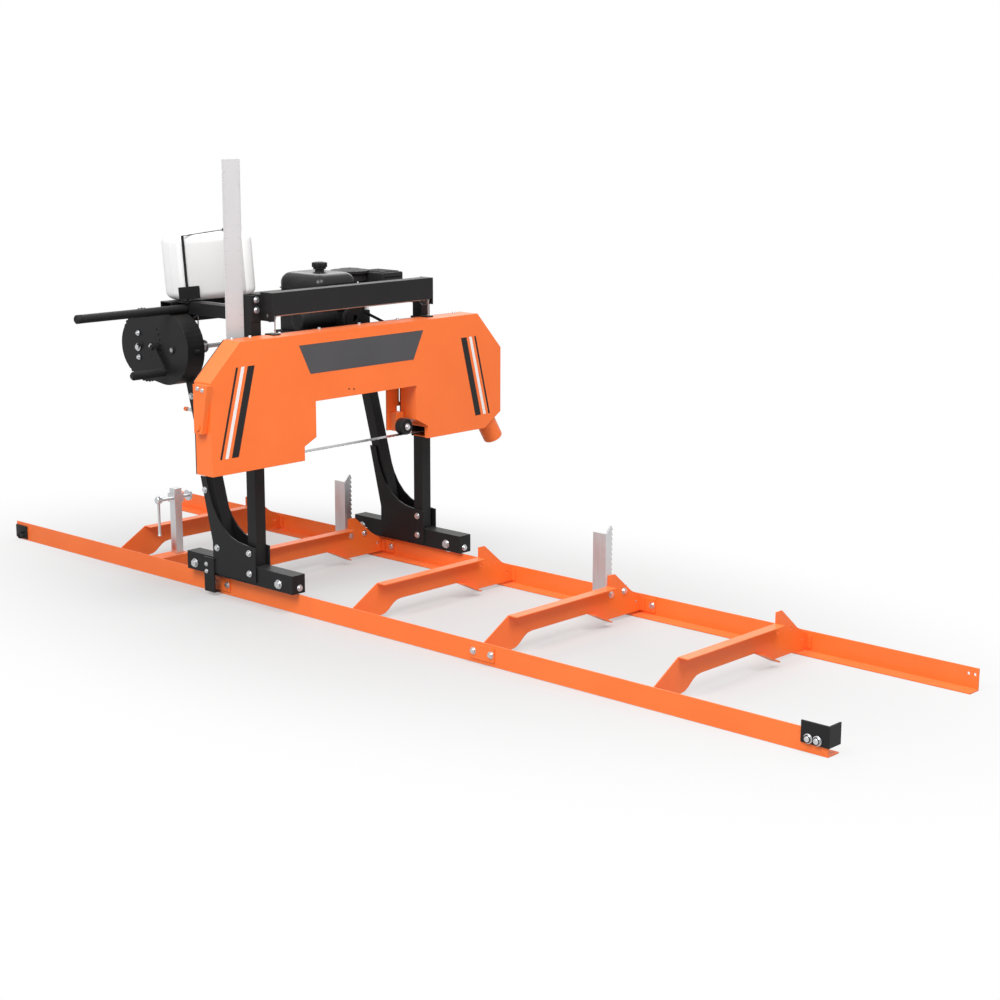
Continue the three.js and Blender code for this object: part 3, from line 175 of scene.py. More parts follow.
def noiseNode(tree, place, scale, detail, roughness):
    node = tree.nodes.new("ShaderNodeTexNoise")
    feed(tree, node, {"Vector": place, "Scale": scale, "Detail": detail, "Roughness": roughness})
    return node.outputs["Fac"]


def objectPlace(tree):
    return tree.nodes.new("ShaderNodeTexCoord").outputs["Object"]


def mixColors(tree, factor, first, second):
    node = tree.nodes.new("ShaderNodeMix")
    node.data_type = "RGBA"
    feed(tree, node, {"Factor": factor, "A": first, "B": second})
    return node.outputs["Result"]


# Worn edges: where the rounded normal leaves the flat one, broken up by noise
def makeEdgeWear():
    tree, given, result = newGroup("edgeWear", [
        ("Radius", floatKind, 0.002), ("Amount", floatKind, 0.5), ("Scale", floatKind, 30.0)],
        [("Mask", floatKind), ("Normal", vectorKind)])
    bevel = tree.nodes.new("ShaderNodeBevel")
    bevel.samples = 4
    geometry = tree.nodes.new("ShaderNodeNewGeometry")
    feed(tree, bevel, {"Radius": given.outputs["Radius"]})
    alike = vectorMath(tree, "DOT_PRODUCT", bevel.outputs["Normal"], geometry.outputs["Normal"])["Value"]
    edge = mathNode(tree, "SUBTRACT", 1.0, alike, clamp=True)
    grain = noiseNode(tree, objectPlace(tree), given.outputs["Scale"], detail=5.0, roughness=0.65)
    broken = mathNode(tree, "MULTIPLY_ADD", grain, *effectLook["wornPatches"], clamp=True)
    strong = mathNode(tree, "MULTIPLY", edge, effectLook["edgeGain"], clamp=True)
    worn = mathNode(tree, "MULTIPLY", strong, broken)
    mask = mathNode(tree, "MULTIPLY", worn, given.outputs["Amount"], clamp=True)
    feed(tree, result, {"Mask": mask, "Normal": bevel.outputs["Normal"]})
    return tree


# Skin of a finish: slow cloudiness in colour and gloss, and a fine height
def makeSurfaceSkin():
    tree, given, result = newGroup("surfaceSkin", [
        ("Color", colorKind, (0.5, 0.5, 0.5, 1)), ("Shade", colorKind, (0.4, 0.4, 0.4, 1)),
        ("Cloud Scale", floatKind, 4.0), ("Grain Scale", floatKind, 700.0),
        ("Roughness", floatKind, 0.4), ("Roughness Spread", floatKind, 0.12)],
        [("Color", colorKind), ("Roughness", floatKind), ("Height", floatKind)])
    place = objectPlace(tree)
    cloud = noiseNode(tree, place, given.outputs["Cloud Scale"], detail=4.0, roughness=0.55)
    grain = noiseNode(tree, place, given.outputs["Grain Scale"], detail=2.0, roughness=0.5)
    shade = mathNode(tree, "MULTIPLY_ADD", cloud, *effectLook["clouds"], clamp=True)
    color = mixColors(tree, shade, given.outputs["Color"], given.outputs["Shade"])
    spread = mathNode(tree, "SUBTRACT", cloud, 0.5)
    rough = mathNode(tree, "MULTIPLY_ADD", spread, given.outputs["Roughness Spread"], given.outputs["Roughness"],
                     clamp=True)
    feed(tree, result, {"Color": color, "Roughness": rough, "Height": grain})
    return tree


# Brushing: noise drawn out along one direction
def makeBrushing():
    tree, given, result = newGroup("brushing", [
        ("Stretch", vectorKind, (3.0, 300.0, 300.0)), ("Roughness", floatKind, 0.35)],
        [("Tone", floatKind), ("Roughness", floatKind), ("Height", floatKind)])
    scaled = vectorMath(tree, "MULTIPLY", objectPlace(tree), given.outputs["Stretch"])["Vector"]
    streak = noiseNode(tree, scaled, 1.0, detail=2.0, roughness=0.5)
    spread = mathNode(tree, "MULTIPLY_ADD", streak, *effectLook["streaks"])
    rough = mathNode(tree, "ADD", spread, given.outputs["Roughness"], clamp=True)
    feed(tree, result, {"Tone": streak, "Roughness": rough, "Height": streak})
    return tree


# Dust: thin on faces that look up
def makeDust():
    tree, given, result = newGroup("dust", [("Amount", floatKind, 0.15), ("Scale", floatKind, 18.0)],
                                   [("Mask", floatKind)])
    normal = tree.nodes.new("ShaderNodeSeparateXYZ")
    feed(tree, normal, {"Vector": tree.nodes.new("ShaderNodeNewGeometry").outputs["Normal"]})
    up = mathNode(tree, "MULTIPLY_ADD", normal.outputs["Z"], *effectLook["upwardFaces"], clamp=True)
    patch = noiseNode(tree, objectPlace(tree), given.outputs["Scale"], detail=5.0, roughness=0.6)
    soft = mathNode(tree, "MULTIPLY", up, patch)
    feed(tree, result, {"Mask": mathNode(tree, "MULTIPLY", soft, given.outputs["Amount"], clamp=True)})
    return tree


edgeWear = makeEdgeWear()
surfaceSkin = makeSurfaceSkin()
brushing = makeBrushing()
dust = makeDust()


def placeGroup(tree, group, values):
    node = tree.nodes.new("ShaderNodeGroup")
    node.node_tree = group
    feed(tree, node, values)
    return node


def placeWear(tree, look):
    return placeGroup(tree, edgeWear, {"Radius": look["edgeRadius"], "Amount": look["wear"],
                                       "Scale": look["wearScale"]})


def newMaterial(name):
    material = bpy.data.materials.new(name)
    material.use_nodes = True
    tree = material.node_tree
    return material, tree, tree.nodes["Principled BSDF"]


def addBump(tree, shader, height, normal, look):
    bump = tree.nodes.new("ShaderNodeBump")
    feed(tree, bump, {"Strength": look["bump"], "Distance": look["bumpDepth"], "Height": height, "Normal": normal})
    feed(tree, shader, {"Normal": bump.outputs["Normal"]})


# A coat over metal: skin, worn edges and dust
def makeCoat(name, look):
    material, tree, shader = newMaterial(name)
    skin = placeGroup(tree, surfaceSkin, {
        "Color": look["color"], "Shade": look["shade"], "Cloud Scale": look["cloudScale"],
        "Grain Scale": look["grainScale"], "Roughness": look["roughness"], "Roughness Spread": look["spread"]})
    wear = placeWear(tree, look)
    film = placeGroup(tree, dust, {"Amount": look["dust"], "Scale": look["dustScale"]})
    worn = mixColors(tree, wear.outputs["Mask"], skin.outputs["Color"], look["wornColor"])
    dusted = mixColors(tree, film.outputs["Mask"], worn, look["dustColor"])
    rough = mathNode(tree, "MULTIPLY_ADD", film.outputs["Mask"], effectLook["dustRoughness"],
                     skin.outputs["Roughness"], clamp=True)
    feed(tree, shader, {
        "Base Color": dusted, "Roughness": rough, "Metallic": look["metallic"],
        "Specular IOR Level": look["specular"], "Coat Weight": look["coat"],
        "Coat Roughness": look["coatRoughness"]})
    addBump(tree, shader, skin.outputs["Height"], wear.outputs["Normal"], look)
    return material


# Bare or plated metal: brushing under worn edges
def makeMetal(name, look):
    material, tree, shader = newMaterial(name)
    brushed = placeGroup(tree, brushing, {"Stretch": look["stretch"], "Roughness": look["roughness"]})
    skin = placeGroup(tree, surfaceSkin, {
        "Color": look["color"], "Shade": look["shade"], "Cloud Scale": look["cloudScale"]})
    wear = placeWear(tree, look)
    toned = mixColors(tree, brushed.outputs["Tone"], skin.outputs["Color"], look["streakColor"])
    worn = mixColors(tree, wear.outputs["Mask"], toned, look["wornColor"])
    feed(tree, shader, {"Base Color": worn, "Roughness": brushed.outputs["Roughness"],
                        "Metallic": look["metallic"]})
    addBump(tree, shader, brushed.outputs["Height"], wear.outputs["Normal"], look)
    return material


def grey(value, blue=0.0):
    return (value, value, value + blue, 1)


coatLook = {"cloudScale": 3.0, "grainScale": 900.0, "spread": 0.1, "edgeRadius": 0.0022, "wear": 0.35,
            "wearScale": 45.0, "dust": 0.12, "dustScale": 14.0, "dustColor": (0.55, 0.5, 0.44, 1),
            "metallic": 0.0, "specular": 0.5, "coat": 0.0, "coatRoughness": 0.2, "bump": 0.12,
            "bumpDepth": 0.0004}
darkLook = {**coatLook, "dust": 0.05, "specular": 0.22}
filmLook = {**coatLook, "edgeRadius": 0.0003, "dust": 0.02}
metalLook = {"cloudScale": 6.0, "edgeRadius": 0.0012, "wear": 0.3, "wearScale": 60.0, "metallic": 1.0,
             "bump": 0.1, "bumpDepth": 0.0003, "wornColor": grey(0.82, 0.01)}
coats = {
    "orangePaint": {**coatLook, "color": (1.0, 0.2, 0.036, 1), "shade": (0.9, 0.165, 0.026, 1),
                    "roughness": 0.4, "wornColor": (0.98, 0.42, 0.2, 1), "specular": 0.35, "coat": 0.15},
    "blackPaint": {**darkLook, "color": grey(0.01, 0.001), "shade": grey(0.017, 0.001), "roughness": 0.45,
                   "wornColor": grey(0.12, 0.005)},
    "glossBlack": {**darkLook, "color": grey(0.008, 0.001), "shade": grey(0.013, 0.001), "roughness": 0.3,
                   "wornColor": grey(0.08, 0.005), "coat": 0.3, "wear": 0.15},
    "castBlack": {**darkLook, "color": grey(0.014, 0.001), "shade": grey(0.026, 0.002), "roughness": 0.55,
                  "wornColor": grey(0.1), "grainScale": 260.0, "bump": 0.35, "bumpDepth": 0.0008},
    "blackRubber": {**darkLook, "color": grey(0.011, 0.001), "shade": grey(0.022), "roughness": 0.78,
                    "wornColor": grey(0.05), "bump": 0.3},
    "blackPlastic": {**darkLook, "color": grey(0.012, 0.001), "shade": grey(0.02, 0.001), "roughness": 0.48,
                     "wornColor": grey(0.06), "grainScale": 500.0, "bump": 0.25},
    "tankPlastic": {**coatLook, "color": grey(0.84, -0.002), "shade": grey(0.78, -0.002), "roughness": 0.46,
                    "wornColor": grey(0.93, -0.01), "wear": 0.2, "dust": 0.05, "grainScale": 420.0},
    "scaleSheet": {**coatLook, "color": (0.66, 0.65, 0.66, 1), "shade": (0.6, 0.59, 0.6, 1),
                   "roughness": 0.42, "wornColor": grey(0.9), "edgeRadius": 0.0006},
    "darkFilm": {**filmLook, "color": grey(0.055, 0.005), "shade": grey(0.075, 0.005), "roughness": 0.5,
                 "wornColor": grey(0.3)},
    "blackFilm": {**filmLook, "color": grey(0.014, 0.001), "shade": grey(0.02, 0.001), "roughness": 0.42,
                  "wornColor": grey(0.2), "specular": darkLook["specular"]},
    "greyFilm": {**filmLook, "color": grey(0.42, 0.01), "shade": grey(0.36, 0.01), "roughness": 0.45,
                 "wornColor": grey(0.6)},
    "whiteFilm": {**filmLook, "color": grey(0.88, -0.01), "shade": grey(0.82, -0.01), "roughness": 0.4,
                  "wornColor": grey(0.95)},
}
metals = {
    "zincPlate": {**metalLook, "color": (0.68, 0.69, 0.71, 1), "shade": (0.56, 0.57, 0.6, 1),
                  "streakColor": (0.78, 0.79, 0.8, 1), "roughness": 0.34, "stretch": (90.0, 90.0, 8.0)},
    "bareSteel": {**metalLook, "color": grey(0.42, 0.01), "shade": grey(0.3, 0.01),
                  "streakColor": grey(0.52, 0.01), "roughness": 0.36, "stretch": (260.0, 5.0, 260.0)},
    "bladeSteel": {**metalLook, "color": grey(0.3, 0.01), "shade": grey(0.2, 0.01),
                   "streakColor": grey(0.4, 0.01), "roughness": 0.32, "stretch": (500.0, 6.0, 500.0)},
    "ropeSteel": {**metalLook, "color": grey(0.45, 0.01), "shade": grey(0.25, 0.01), "streakColor": grey(0.6),
                  "roughness": 0.4, "stretch": (300.0, 300.0, 900.0), "bump": 0.6, "bumpDepth": 0.0008},
}
finishes = {name: makeCoat(name, look) for name, look in coats.items()}
finishes.update({name: makeMetal(name, look) for name, look in metals.items()})
print("stage:", len(finishes), "materials")

# The CAD nodes that stay take the finish of their slot
slotFinish = {"orange_paint": "orangePaint", "black_paint": "blackPaint", "zinc_plate": "zincPlate",
              "bare_steel": "bareSteel", "black_rubber": "blackRubber", "black_plastic": "blackPlastic",
              "fuel_tank_paint": "glossBlack", "white_plastic": "tankPlastic", "scale_plate": "scaleSheet"}
nodeFinish = {"band_blade": "bladeSteel", "clutch_pulley": "castBlack", "front_lift_cable": "ropeSteel",
              "back_lift_cable": "ropeSteel"}
for part in frame["record"]["subparts"]:
    node = nodes[part["node"]]
    finish = finishes[nodeFinish.get(part["node"], slotFinish[part["material_slot"]])]
    node.data.materials.clear()
    node.data.materials.append(finish)

# The pieces are modelled in a drawing's millimetres: x from the rails' far end, y from the front post's middle
mm = 0.001
mergeDistance = 0.001
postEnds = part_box("front_post")
origin = Vector((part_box("back_rail")[0].x, (postEnds[0].y + postEnds[1].y) / 2, 0))
toScene = Matrix.Translation(origin) @ Matrix.Scale(mm, 4)
toDrawing = toScene.inverted()
gauge = 940


def boxOf(node):
    return [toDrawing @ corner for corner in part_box(node)]


def middleOf(node):
    low, high = boxOf(node)
    return (low + high) / 2


def bevelEdges(bm, verts, offset, segments):
    edges = {edge for vert in verts for edge in vert.link_edges}
    return bmesh.ops.bevel(bm, geom=list(edges), offset=offset, segments=segments, profile=0.5, affect="EDGES",
                           material=-1)["faces"]


def faceOutward(bm, verts):
    faces = {face for vert in verts for face in vert.link_faces}
    bmesh.ops.recalc_face_normals(bm, faces=list(faces))


def boxSolid(bm, low, high, bevel=0.0, segments=3):
    low, high = Vector(low), Vector(high)
    place = Matrix.Translation((low + high) / 2) @ Matrix.Diagonal((*(high - low), 1))
    made = bmesh.ops.create_cube(bm, size=1, matrix=place)
    if bevel:
        bevelEdges(bm, made["verts"], bevel, segments)


# The same box again and again, a step apart
def boxRow(bm, count, low, high, step, bevel):
    for k in range(count):
        shift = Vector(step) * k
        boxSolid(bm, Vector(low) + shift, Vector(high) + shift, bevel, segments=1)


# Turns that point the z axis along another axis, or against it
axisTurns = {"x": Matrix.Rotation(pi / 2, 4, "Y"), "y": Matrix.Rotation(-pi / 2, 4, "X"),
             "-y": Matrix.Rotation(pi / 2, 4, "X"), "z": Matrix.Identity(4)}


# A profile of (radius, distance) pairs, spun about an axis through the place
def turnedSolid(bm, profile, place, axis, steps=48, ring=False):
    verts = [bm.verts.new((radius, 0, along)) for radius, along in profile]
    edges = [bm.edges.new(pair) for pair in zip(verts, verts[1:])]
    if ring:
        edges.append(bm.edges.new((verts[-1], verts[0])))
    elif profile[0] == profile[-1]:
        bmesh.ops.remove_doubles(bm, verts=verts, dist=mergeDistance)
        verts = [vert for vert in verts if vert.is_valid]
        edges = [edge for edge in edges if edge.is_valid]
    bmesh.ops.spin(bm, geom=verts + edges, cent=(0, 0, 0), axis=(0, 0, 1), dvec=(0, 0, 0), angle=2 * pi,
                   steps=steps, use_merge=True, use_duplicate=False)
    fresh = {vert for vert in verts if vert.is_valid}
    stack = list(fresh)
    while stack:
        for edge in stack.pop().link_edges:
            for vert in edge.verts:
                if vert not in fresh:
                    fresh.add(vert)
                    stack.append(vert)
    bmesh.ops.remove_doubles(bm, verts=list(fresh), dist=mergeDistance)
    fresh = [vert for vert in fresh if vert.is_valid]
    faceOutward(bm, fresh)
    bmesh.ops.transform(bm, matrix=Matrix.Translation(place) @ axisTurns[axis], verts=fresh)


# Both halves of a closed profile that mirrors about the middle of its width
def mirroredProfile(half):
    return half + [(radius, -along) for radius, along in reversed(half)] + [half[0]]


def rodSolid(bm, radius, start, end, place, axis, steps=32, edge=0.0):
    if edge:
        profile = [(0, start), (radius - edge, start), (radius, start + edge), (radius, end - edge),
                   (radius - edge, end), (0, end)]
    else:
        profile = [(0, start), (radius, start), (radius, end), (0, end)]
    turnedSolid(bm, profile, place, axis, steps)


# Equal rods spaced round an axis
def rodRing(bm, count, reach, radius, start, end, place, axis, steps=6):
    for k in range(count):
        angle = 2 * pi * k / count
        u, v = reach * cos(angle), reach * sin(angle)
        around = Vector((u, v, 0)) if axis == "z" else Vector((0, u, v))
        rodSolid(bm, radius, start, end, Vector(place) + around, axis, steps)


# Turns that bring an outline's two coordinates into the plane across an axis
plateTurns = {"x": Matrix(((0, 0, 1, 0), (1, 0, 0, 0), (0, 1, 0, 0), (0, 0, 0, 1))),
              "y": Matrix(((1, 0, 0, 0), (0, 0, -1, 0), (0, 1, 0, 0), (0, 0, 0, 1))), "z": Matrix.Identity(4)}


# A flat outline given in the plane across an axis, thickened along that axis
def plateSolid(bm, points, depth, place, axis, bevel=0.0):
    verts = [bm.verts.new((u, v, 0)) for u, v in points]
    made = bmesh.ops.extrude_face_region(bm, geom=[bm.faces.new(verts)])
    lifted = [item for item in made["geom"] if isinstance(item, bmesh.types.BMVert)]
    bmesh.ops.translate(bm, vec=(0, 0, depth), verts=lifted)
    both = verts + lifted
    faceOutward(bm, both)
    if bevel:
        beveled = {vert for face in bevelEdges(bm, both, bevel, segments=2) for vert in face.verts}
        both = list(beveled.union(vert for vert in both if vert.is_valid))
    bmesh.ops.transform(bm, matrix=Matrix.Translation(place) @ plateTurns[axis], verts=both)


# Corner points of a rounded rectangle in two coordinates
def roundedOutline(left, right, bottom, top, radius, steps=6):
    points = []
    for k, (u, v) in enumerate(((right, top), (left, top), (left, bottom), (right, bottom))):
        for step in range(steps + 1):
            angle = pi / 2 * (k + step / steps)
            points.append(((u - radius if u == right else u + radius) + radius * cos(angle),
                           (v - radius if v == top else v + radius) + radius * sin(angle)))
    return points


def roundedRing(low, high, radius, z):
    return [Vector((x, y, z)) for x, y in roundedOutline(low.x, high.x, low.y, high.y, radius, steps=8)]


# A closed body through rings of equally many points
def loftSolid(bm, rings):
    rows = [[bm.verts.new(point) for point in ring] for ring in rings]
    faces = [bm.faces.new(rows[0]), bm.faces.new(rows[-1])]
    for lower, upper in zip(rows, rows[1:]):
        for k in range(len(lower)):
            follow = (k + 1) % len(lower)
            faces.append(bm.faces.new((lower[k], lower[follow], upper[follow], upper[k])))
    bmesh.ops.recalc_face_normals(bm, faces=faces)


# Rings that turn a box's top and bottom edges over in quarter rounds. The corners tighten by half the inset
def shellRings(low, high, corner, bottomRound, topRound, steps):
    angles = [pi / 2 * k / steps for k in range(steps + 1)]
    levels = [(bottomRound * (1 - sin(angle)), low.z + bottomRound * (1 - cos(angle))) for angle in angles]
    levels += [(topRound * (1 - cos(angle)), high.z - topRound * (1 - sin(angle))) for angle in angles]
    rings = []
    for inset, z in levels:
        shift = Vector((inset, inset, 0))
        rings.append(roundedRing(low + shift, high - shift, max(corner - inset * 0.5, 1), z))
    return rings


# The drawn solids become one piece of the scene, in metres
def finishPiece(bm, name, finish, body, replaced=(), angle=35):
    bmesh.ops.transform(bm, matrix=toScene, verts=bm.verts)
    mesh = bpy.data.meshes.new(name)
    bm.to_mesh(mesh)
    bm.free()
    mesh.shade_smooth()
    mesh.set_sharp_from_angle(angle=radians(angle))
    mesh.materials.append(finishes[finish])
    piece = bpy.data.objects.new(name, mesh)
    bpy.context.scene.collection.objects.link(piece)
    if body:
        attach(piece, body)
    if replaced:
        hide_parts(*replaced)
    return piece


# A piece of plain solids, each given as (function, its values), with the values that all of them share
def makePlain(name, finish, body, slotName, solids, replaced=(), **shared):
    bm = bmesh.new()
    for make, values in solids.values():
        make(bm, **shared, **values)
    finishPiece(bm, name, finish, body, replaced)


# Rail wheels: turned, with a V groove over the rail's edge
railWheel = {"flange": 38, "groove": 35, "grooveWidth": 9, "lip": 8, "width": 24, "bore": 9.5, "dish": 2.5,
             "hub": 17, "rimInside": 30, "edge": 1}


def makeRailWheel(node, look):
    face, dish, edge = -look["width"] / 2, look["dish"], look["edge"]
    flange, hub, inside = look["flange"], look["hub"], look["rimInside"]
    profile = mirroredProfile([
        (look["bore"], face), (hub, face), (hub + dish, face + dish), (inside - dish, face + dish), (inside, face),
        (flange - edge, face), (flange, face + edge), (flange, -look["lip"]),
        (look["groove"], -look["grooveWidth"] / 2)])
    bm = bmesh.new()
    turnedSolid(bm, profile, middleOf(node), "y", steps=56)
    finishPiece(bm, node.replace("_wheel_", "RailWheel"), "zincPlate", node, (node,))


for side in ("front", "back"):
    for count in (1, 2):
        makeRailWheel(f"{side}_wheel_{count}", railWheel)
print("stage: rail wheels")

# Water tank: blow-moulded and leaning, with a mould seam, a groove and a screw cap
waterTank = {"near": 1201, "depth": 150, "corner": 34, "foot": 5, "lean": 0.1,
             "seam": 1.4, "seamWidth": 4, "seamBottom": 1, "seamTop": 0.4,
             "grooveFar": 62, "grooveWidth": 9, "grooveDepth": 3, "grooveCatch": 0.1,
             "neckRadius": 21, "neckInset": 76, "neckHeight": 14, "neckFrom": -6, "neckTo": 5,
             "capRadius": 25.5, "capFrom": 3, "capEdge": 2,
             "ribs": {"count": 18, "reach": 25, "radius": 1.6}, "ribsFrom": 4, "ribsBelow": 3}


def makeWaterTank(look):
    low, high = boxOf("water_tank")
    top = high.z - look["neckHeight"]
    near = look["near"] + look["seam"]
    far = near + look["depth"] - 2 * look["seam"]
    middle = (near + far) / 2

    def leaned(piece):
        shift = look["lean"] * (low.z - look["foot"])
        bmesh.ops.transform(piece, verts=piece.verts, matrix=Matrix((
            (1, 0, -look["lean"], shift), (0, 1, 0, 0), (0, 0, 1, 0), (0, 0, 0, 1))))

    body = bmesh.new()
    shellLow, shellHigh = Vector((near, low.y + look["seam"], low.z)), Vector((far, high.y - look["seam"], top))
    loftSolid(body, shellRings(shellLow, shellHigh, look["corner"], look["corner"], look["corner"], steps=7))
    half = look["grooveWidth"] / 2
    deepest = shellHigh.y - look["grooveFar"] - half
    for place in (deepest - half, deepest, deepest + half):
        bmesh.ops.bisect_plane(body, geom=list(body.verts) + list(body.edges) + list(body.faces),
                               dist=mergeDistance, plane_co=(0, place, 0), plane_no=(0, 1, 0))
    for vert in body.verts:
        if abs(vert.co.y - deepest) < look["grooveCatch"]:
            vert.co.x -= look["grooveDepth"] * (1 if vert.co.x > middle else -1)
    points = roundedOutline(low.y, high.y, low.z + look["seamBottom"], top - look["seamTop"], look["corner"])
    plateSolid(body, points, look["seamWidth"], (middle - look["seamWidth"] / 2, 0, 0), "x")
    neck = Vector((middle, high.y - look["neckInset"], 0))
    rodSolid(body, look["neckRadius"], top + look["neckFrom"], top + look["neckTo"], neck, "z", steps=40)
    leaned(body)
    finishPiece(body, "waterTankBody", "tankPlastic", "carriage", ("water_tank",), angle=50)
    cap = bmesh.new()
    rodSolid(cap, look["capRadius"], top + look["capFrom"], high.z, neck, "z", steps=40, edge=look["capEdge"])
    rodRing(cap, start=top + look["ribsFrom"], end=high.z - look["ribsBelow"], place=neck, axis="z",
            **look["ribs"])
    leaned(cap)
    finishPiece(cap, "waterTankCap", "blackPlastic", "carriage")


makeWaterTank(waterTank)

# Fuel tank: two pressed halves on a seam flange, the top with round shoulders
fuelTank = {"corner": 34, "flange": 4, "flangeWall": 3.5, "seamRise": 44, "foot": 12, "shoulder": 44,
            "neckHeight": 10, "neckRadius": 20, "neckSunk": 3, "neckEdge": 1.5}


def makeFuelTank(look):
    low, high = boxOf("fuel_tank")
    top = high.z - look["neckHeight"]
    shift = Vector((look["flange"], look["flange"], 0))
    bm = bmesh.new()
    loftSolid(bm, shellRings(low + shift, Vector((high.x, high.y, top)) - shift, look["corner"], look["foot"],
                             look["shoulder"], steps=9))
    seam = low.z + look["seamRise"]
    loftSolid(bm, [roundedRing(low, high, look["corner"], z) for z in (seam, seam + look["flangeWall"])])
    cap = middleOf("fuel_cap")
    rodSolid(bm, look["neckRadius"], top - look["neckSunk"], high.z, (cap.x, cap.y, 0), "z", steps=40,
             edge=look["neckEdge"])
    finishPiece(bm, "fuelTankShell", "glossBlack", "head", ("fuel_tank",), angle=45)


makeFuelTank(fuelTank)

# Fuel cap: lobed grip on a skirt. The crown is (share of the skirt's radius, depth below the top)
fuelCap = {"lobes": 9, "lobeSteps": 12, "grip": 30, "lobe": 2.6, "skirt": 27, "skirtHeight": 8, "crown": 3,
           "edge": 1.2, "crownShape": ((0, 0), (0.5, 0.4), (0.85, 1.8), (0.92, 4), (0, 4))}


def makeFuelCap(look):
    low, high = boxOf("fuel_cap")
    centre = middleOf("fuel_cap")
    axle = (centre.x, centre.y, 0)
    points = []
    steps = look["lobes"] * look["lobeSteps"]
    for k in range(steps):
        angle = 2 * pi * k / steps
        radius = look["grip"] + look["lobe"] * cos(angle * look["lobes"])
        points.append((radius * cos(angle), radius * sin(angle)))
    bm = bmesh.new()
    gripLow = low.z + look["skirtHeight"]
    plateSolid(bm, points, high.z - look["crown"] - gripLow, (centre.x, centre.y, gripLow), "z", look["edge"])
    rodSolid(bm, look["skirt"], low.z, gripLow + 1, axle, "z", steps=48)
    turnedSolid(bm, [(look["skirt"] * share, high.z - depth) for share, depth in look["crownShape"]], axle, "z")
    finishPiece(bm, "fuelCapGrip", "blackPlastic", "fuel_cap", ("fuel_cap",))


makeFuelCap(fuelCap)
print("stage: tanks")

# Engine: crankcase with finned cylinder, blower housing, air cleaner, control cover and shielded muffler
engineCase = {
    "crankcase": (boxSolid, {"low": (1384, 422, 1044.3), "high": (1587, 752, 1118.3), "bevel": 6}),
    "cylinder": (boxSolid, {"low": (1402, 436, 1104.3), "high": (1573, 700, 1167.9), "bevel": 6}),
    "finCore": (boxSolid, {"low": (1412, 642, 1104.3), "high": (1567, 740, 1179.9), "bevel": 6, "segments": 2}),
    "tankBed": (boxSolid, {"low": (1392, 416, 1163.9), "high": (1599, 638, 1173.9), "bevel": 3, "segments": 2}),
    "fins": (boxRow, {"count": 7, "low": (1394, 632, 1114.3), "high": (1583, 750, 1116.7), "step": (0, 0, 8.6),
                      "bevel": 0.8}),
}
makePlain("engineCase", "castBlack", "head", "black_paint", engineCase, ("engine",))

blowerHousing = {
    "dome": (turnedSolid, {"profile": [(0, 0.5), (40, 0.5), (56, 3), (62, 10), (64, 32), (0, 32)]}),
    "ribs": (rodRing, {"count": 16, "reach": 50, "radius": 3, "start": 0, "end": 6, "steps": 8}),
}
makePlain("blowerHousing", "blackPlastic", "head", "black_plastic", blowerHousing, place=(1372, 568, 1110.3),
          axis="x")

airCleaner = {
    "pot": (turnedSolid, {"profile": [(0, 1236.3), (72, 1236.3), (72, 1264.3), (80, 1266.3), (83, 1270.3),
                                      (83, 1280.3), (75, 1278), (41.5, 1287), (16, 1288), (0, 1288)], "steps": 56}),
    "ribs": (rodRing, {"count": 24, "reach": 72, "radius": 2.2, "start": 1238.3, "end": 1265.3}),
    "nut": (rodSolid, {"radius": 7, "start": 1285, "end": 1290, "steps": 6}),
    "stem": (rodSolid, {"radius": 30, "start": 1166.3, "end": 1237.3}),
}
makePlain("airCleanerPot", "castBlack", "head", "black_paint", airCleaner, place=(1488, 728, 0), axis="z")

controlCover = {
    "shell": (boxSolid, {"low": (1500, 763, 1202), "high": (1653, 883, 1275), "bevel": 6}),
    "topSlots": (boxRow, {"count": 8, "low": (1512, 775, 1273), "high": (1641, 781, 1279), "step": (0, 12.5, 0),
                          "bevel": 1.2}),
    "sideSlots": (boxRow, {"count": 4, "low": (1650, 775, 1214), "high": (1654.5, 871, 1220), "step": (0, 0, 14),
                           "bevel": 1}),
}
makePlain("controlCover", "blackPlastic", "head", "black_plastic", controlCover)

mufflerShell = {"shell": (turnedSolid, {"profile": [(0, 351), (28.7, 351), (37.72, 355), (41, 364), (41, 543),
                                                    (36.9, 552), (0, 554)]})}
mufflerShield = {f"band{k}": (turnedSolid, {"profile": [(40.5, y), (41.8, y), (41.8, y + 7), (40.5, y + 7),
                                                        (40.5, y)], "steps": 40})
                 for k, y in enumerate(range(368, 531, 18))}
mufflerShield["pipe"] = (rodSolid, {"radius": 11, "start": 535, "end": 745, "steps": 24})
for name, muffler in (("mufflerShell", mufflerShell), ("mufflerShield", mufflerShield)):
    makePlain(name, "castBlack", "head", "black_paint", muffler, place=(1568, 0, 1104.3), axis="y")
print("stage: engine")

# Decoration on the guard: a plain dark band, two dark spots and slanted stripes at both ends
guardFilm = {"wall": 0.4, "proud": 0.05, "bandHalf": 345, "bandTop": 42, "bandHeight": 118, "bandSlant": 58,
             "foot": 62, "head": 96, "lean": 0.52, "end": 205, "spots": ((377, 847), (404.5, 844)), "spot": 3.6,
             "stripes": ((0, 34, "dark"), (50, 16, "pale"), (82, 10, "dark"))}


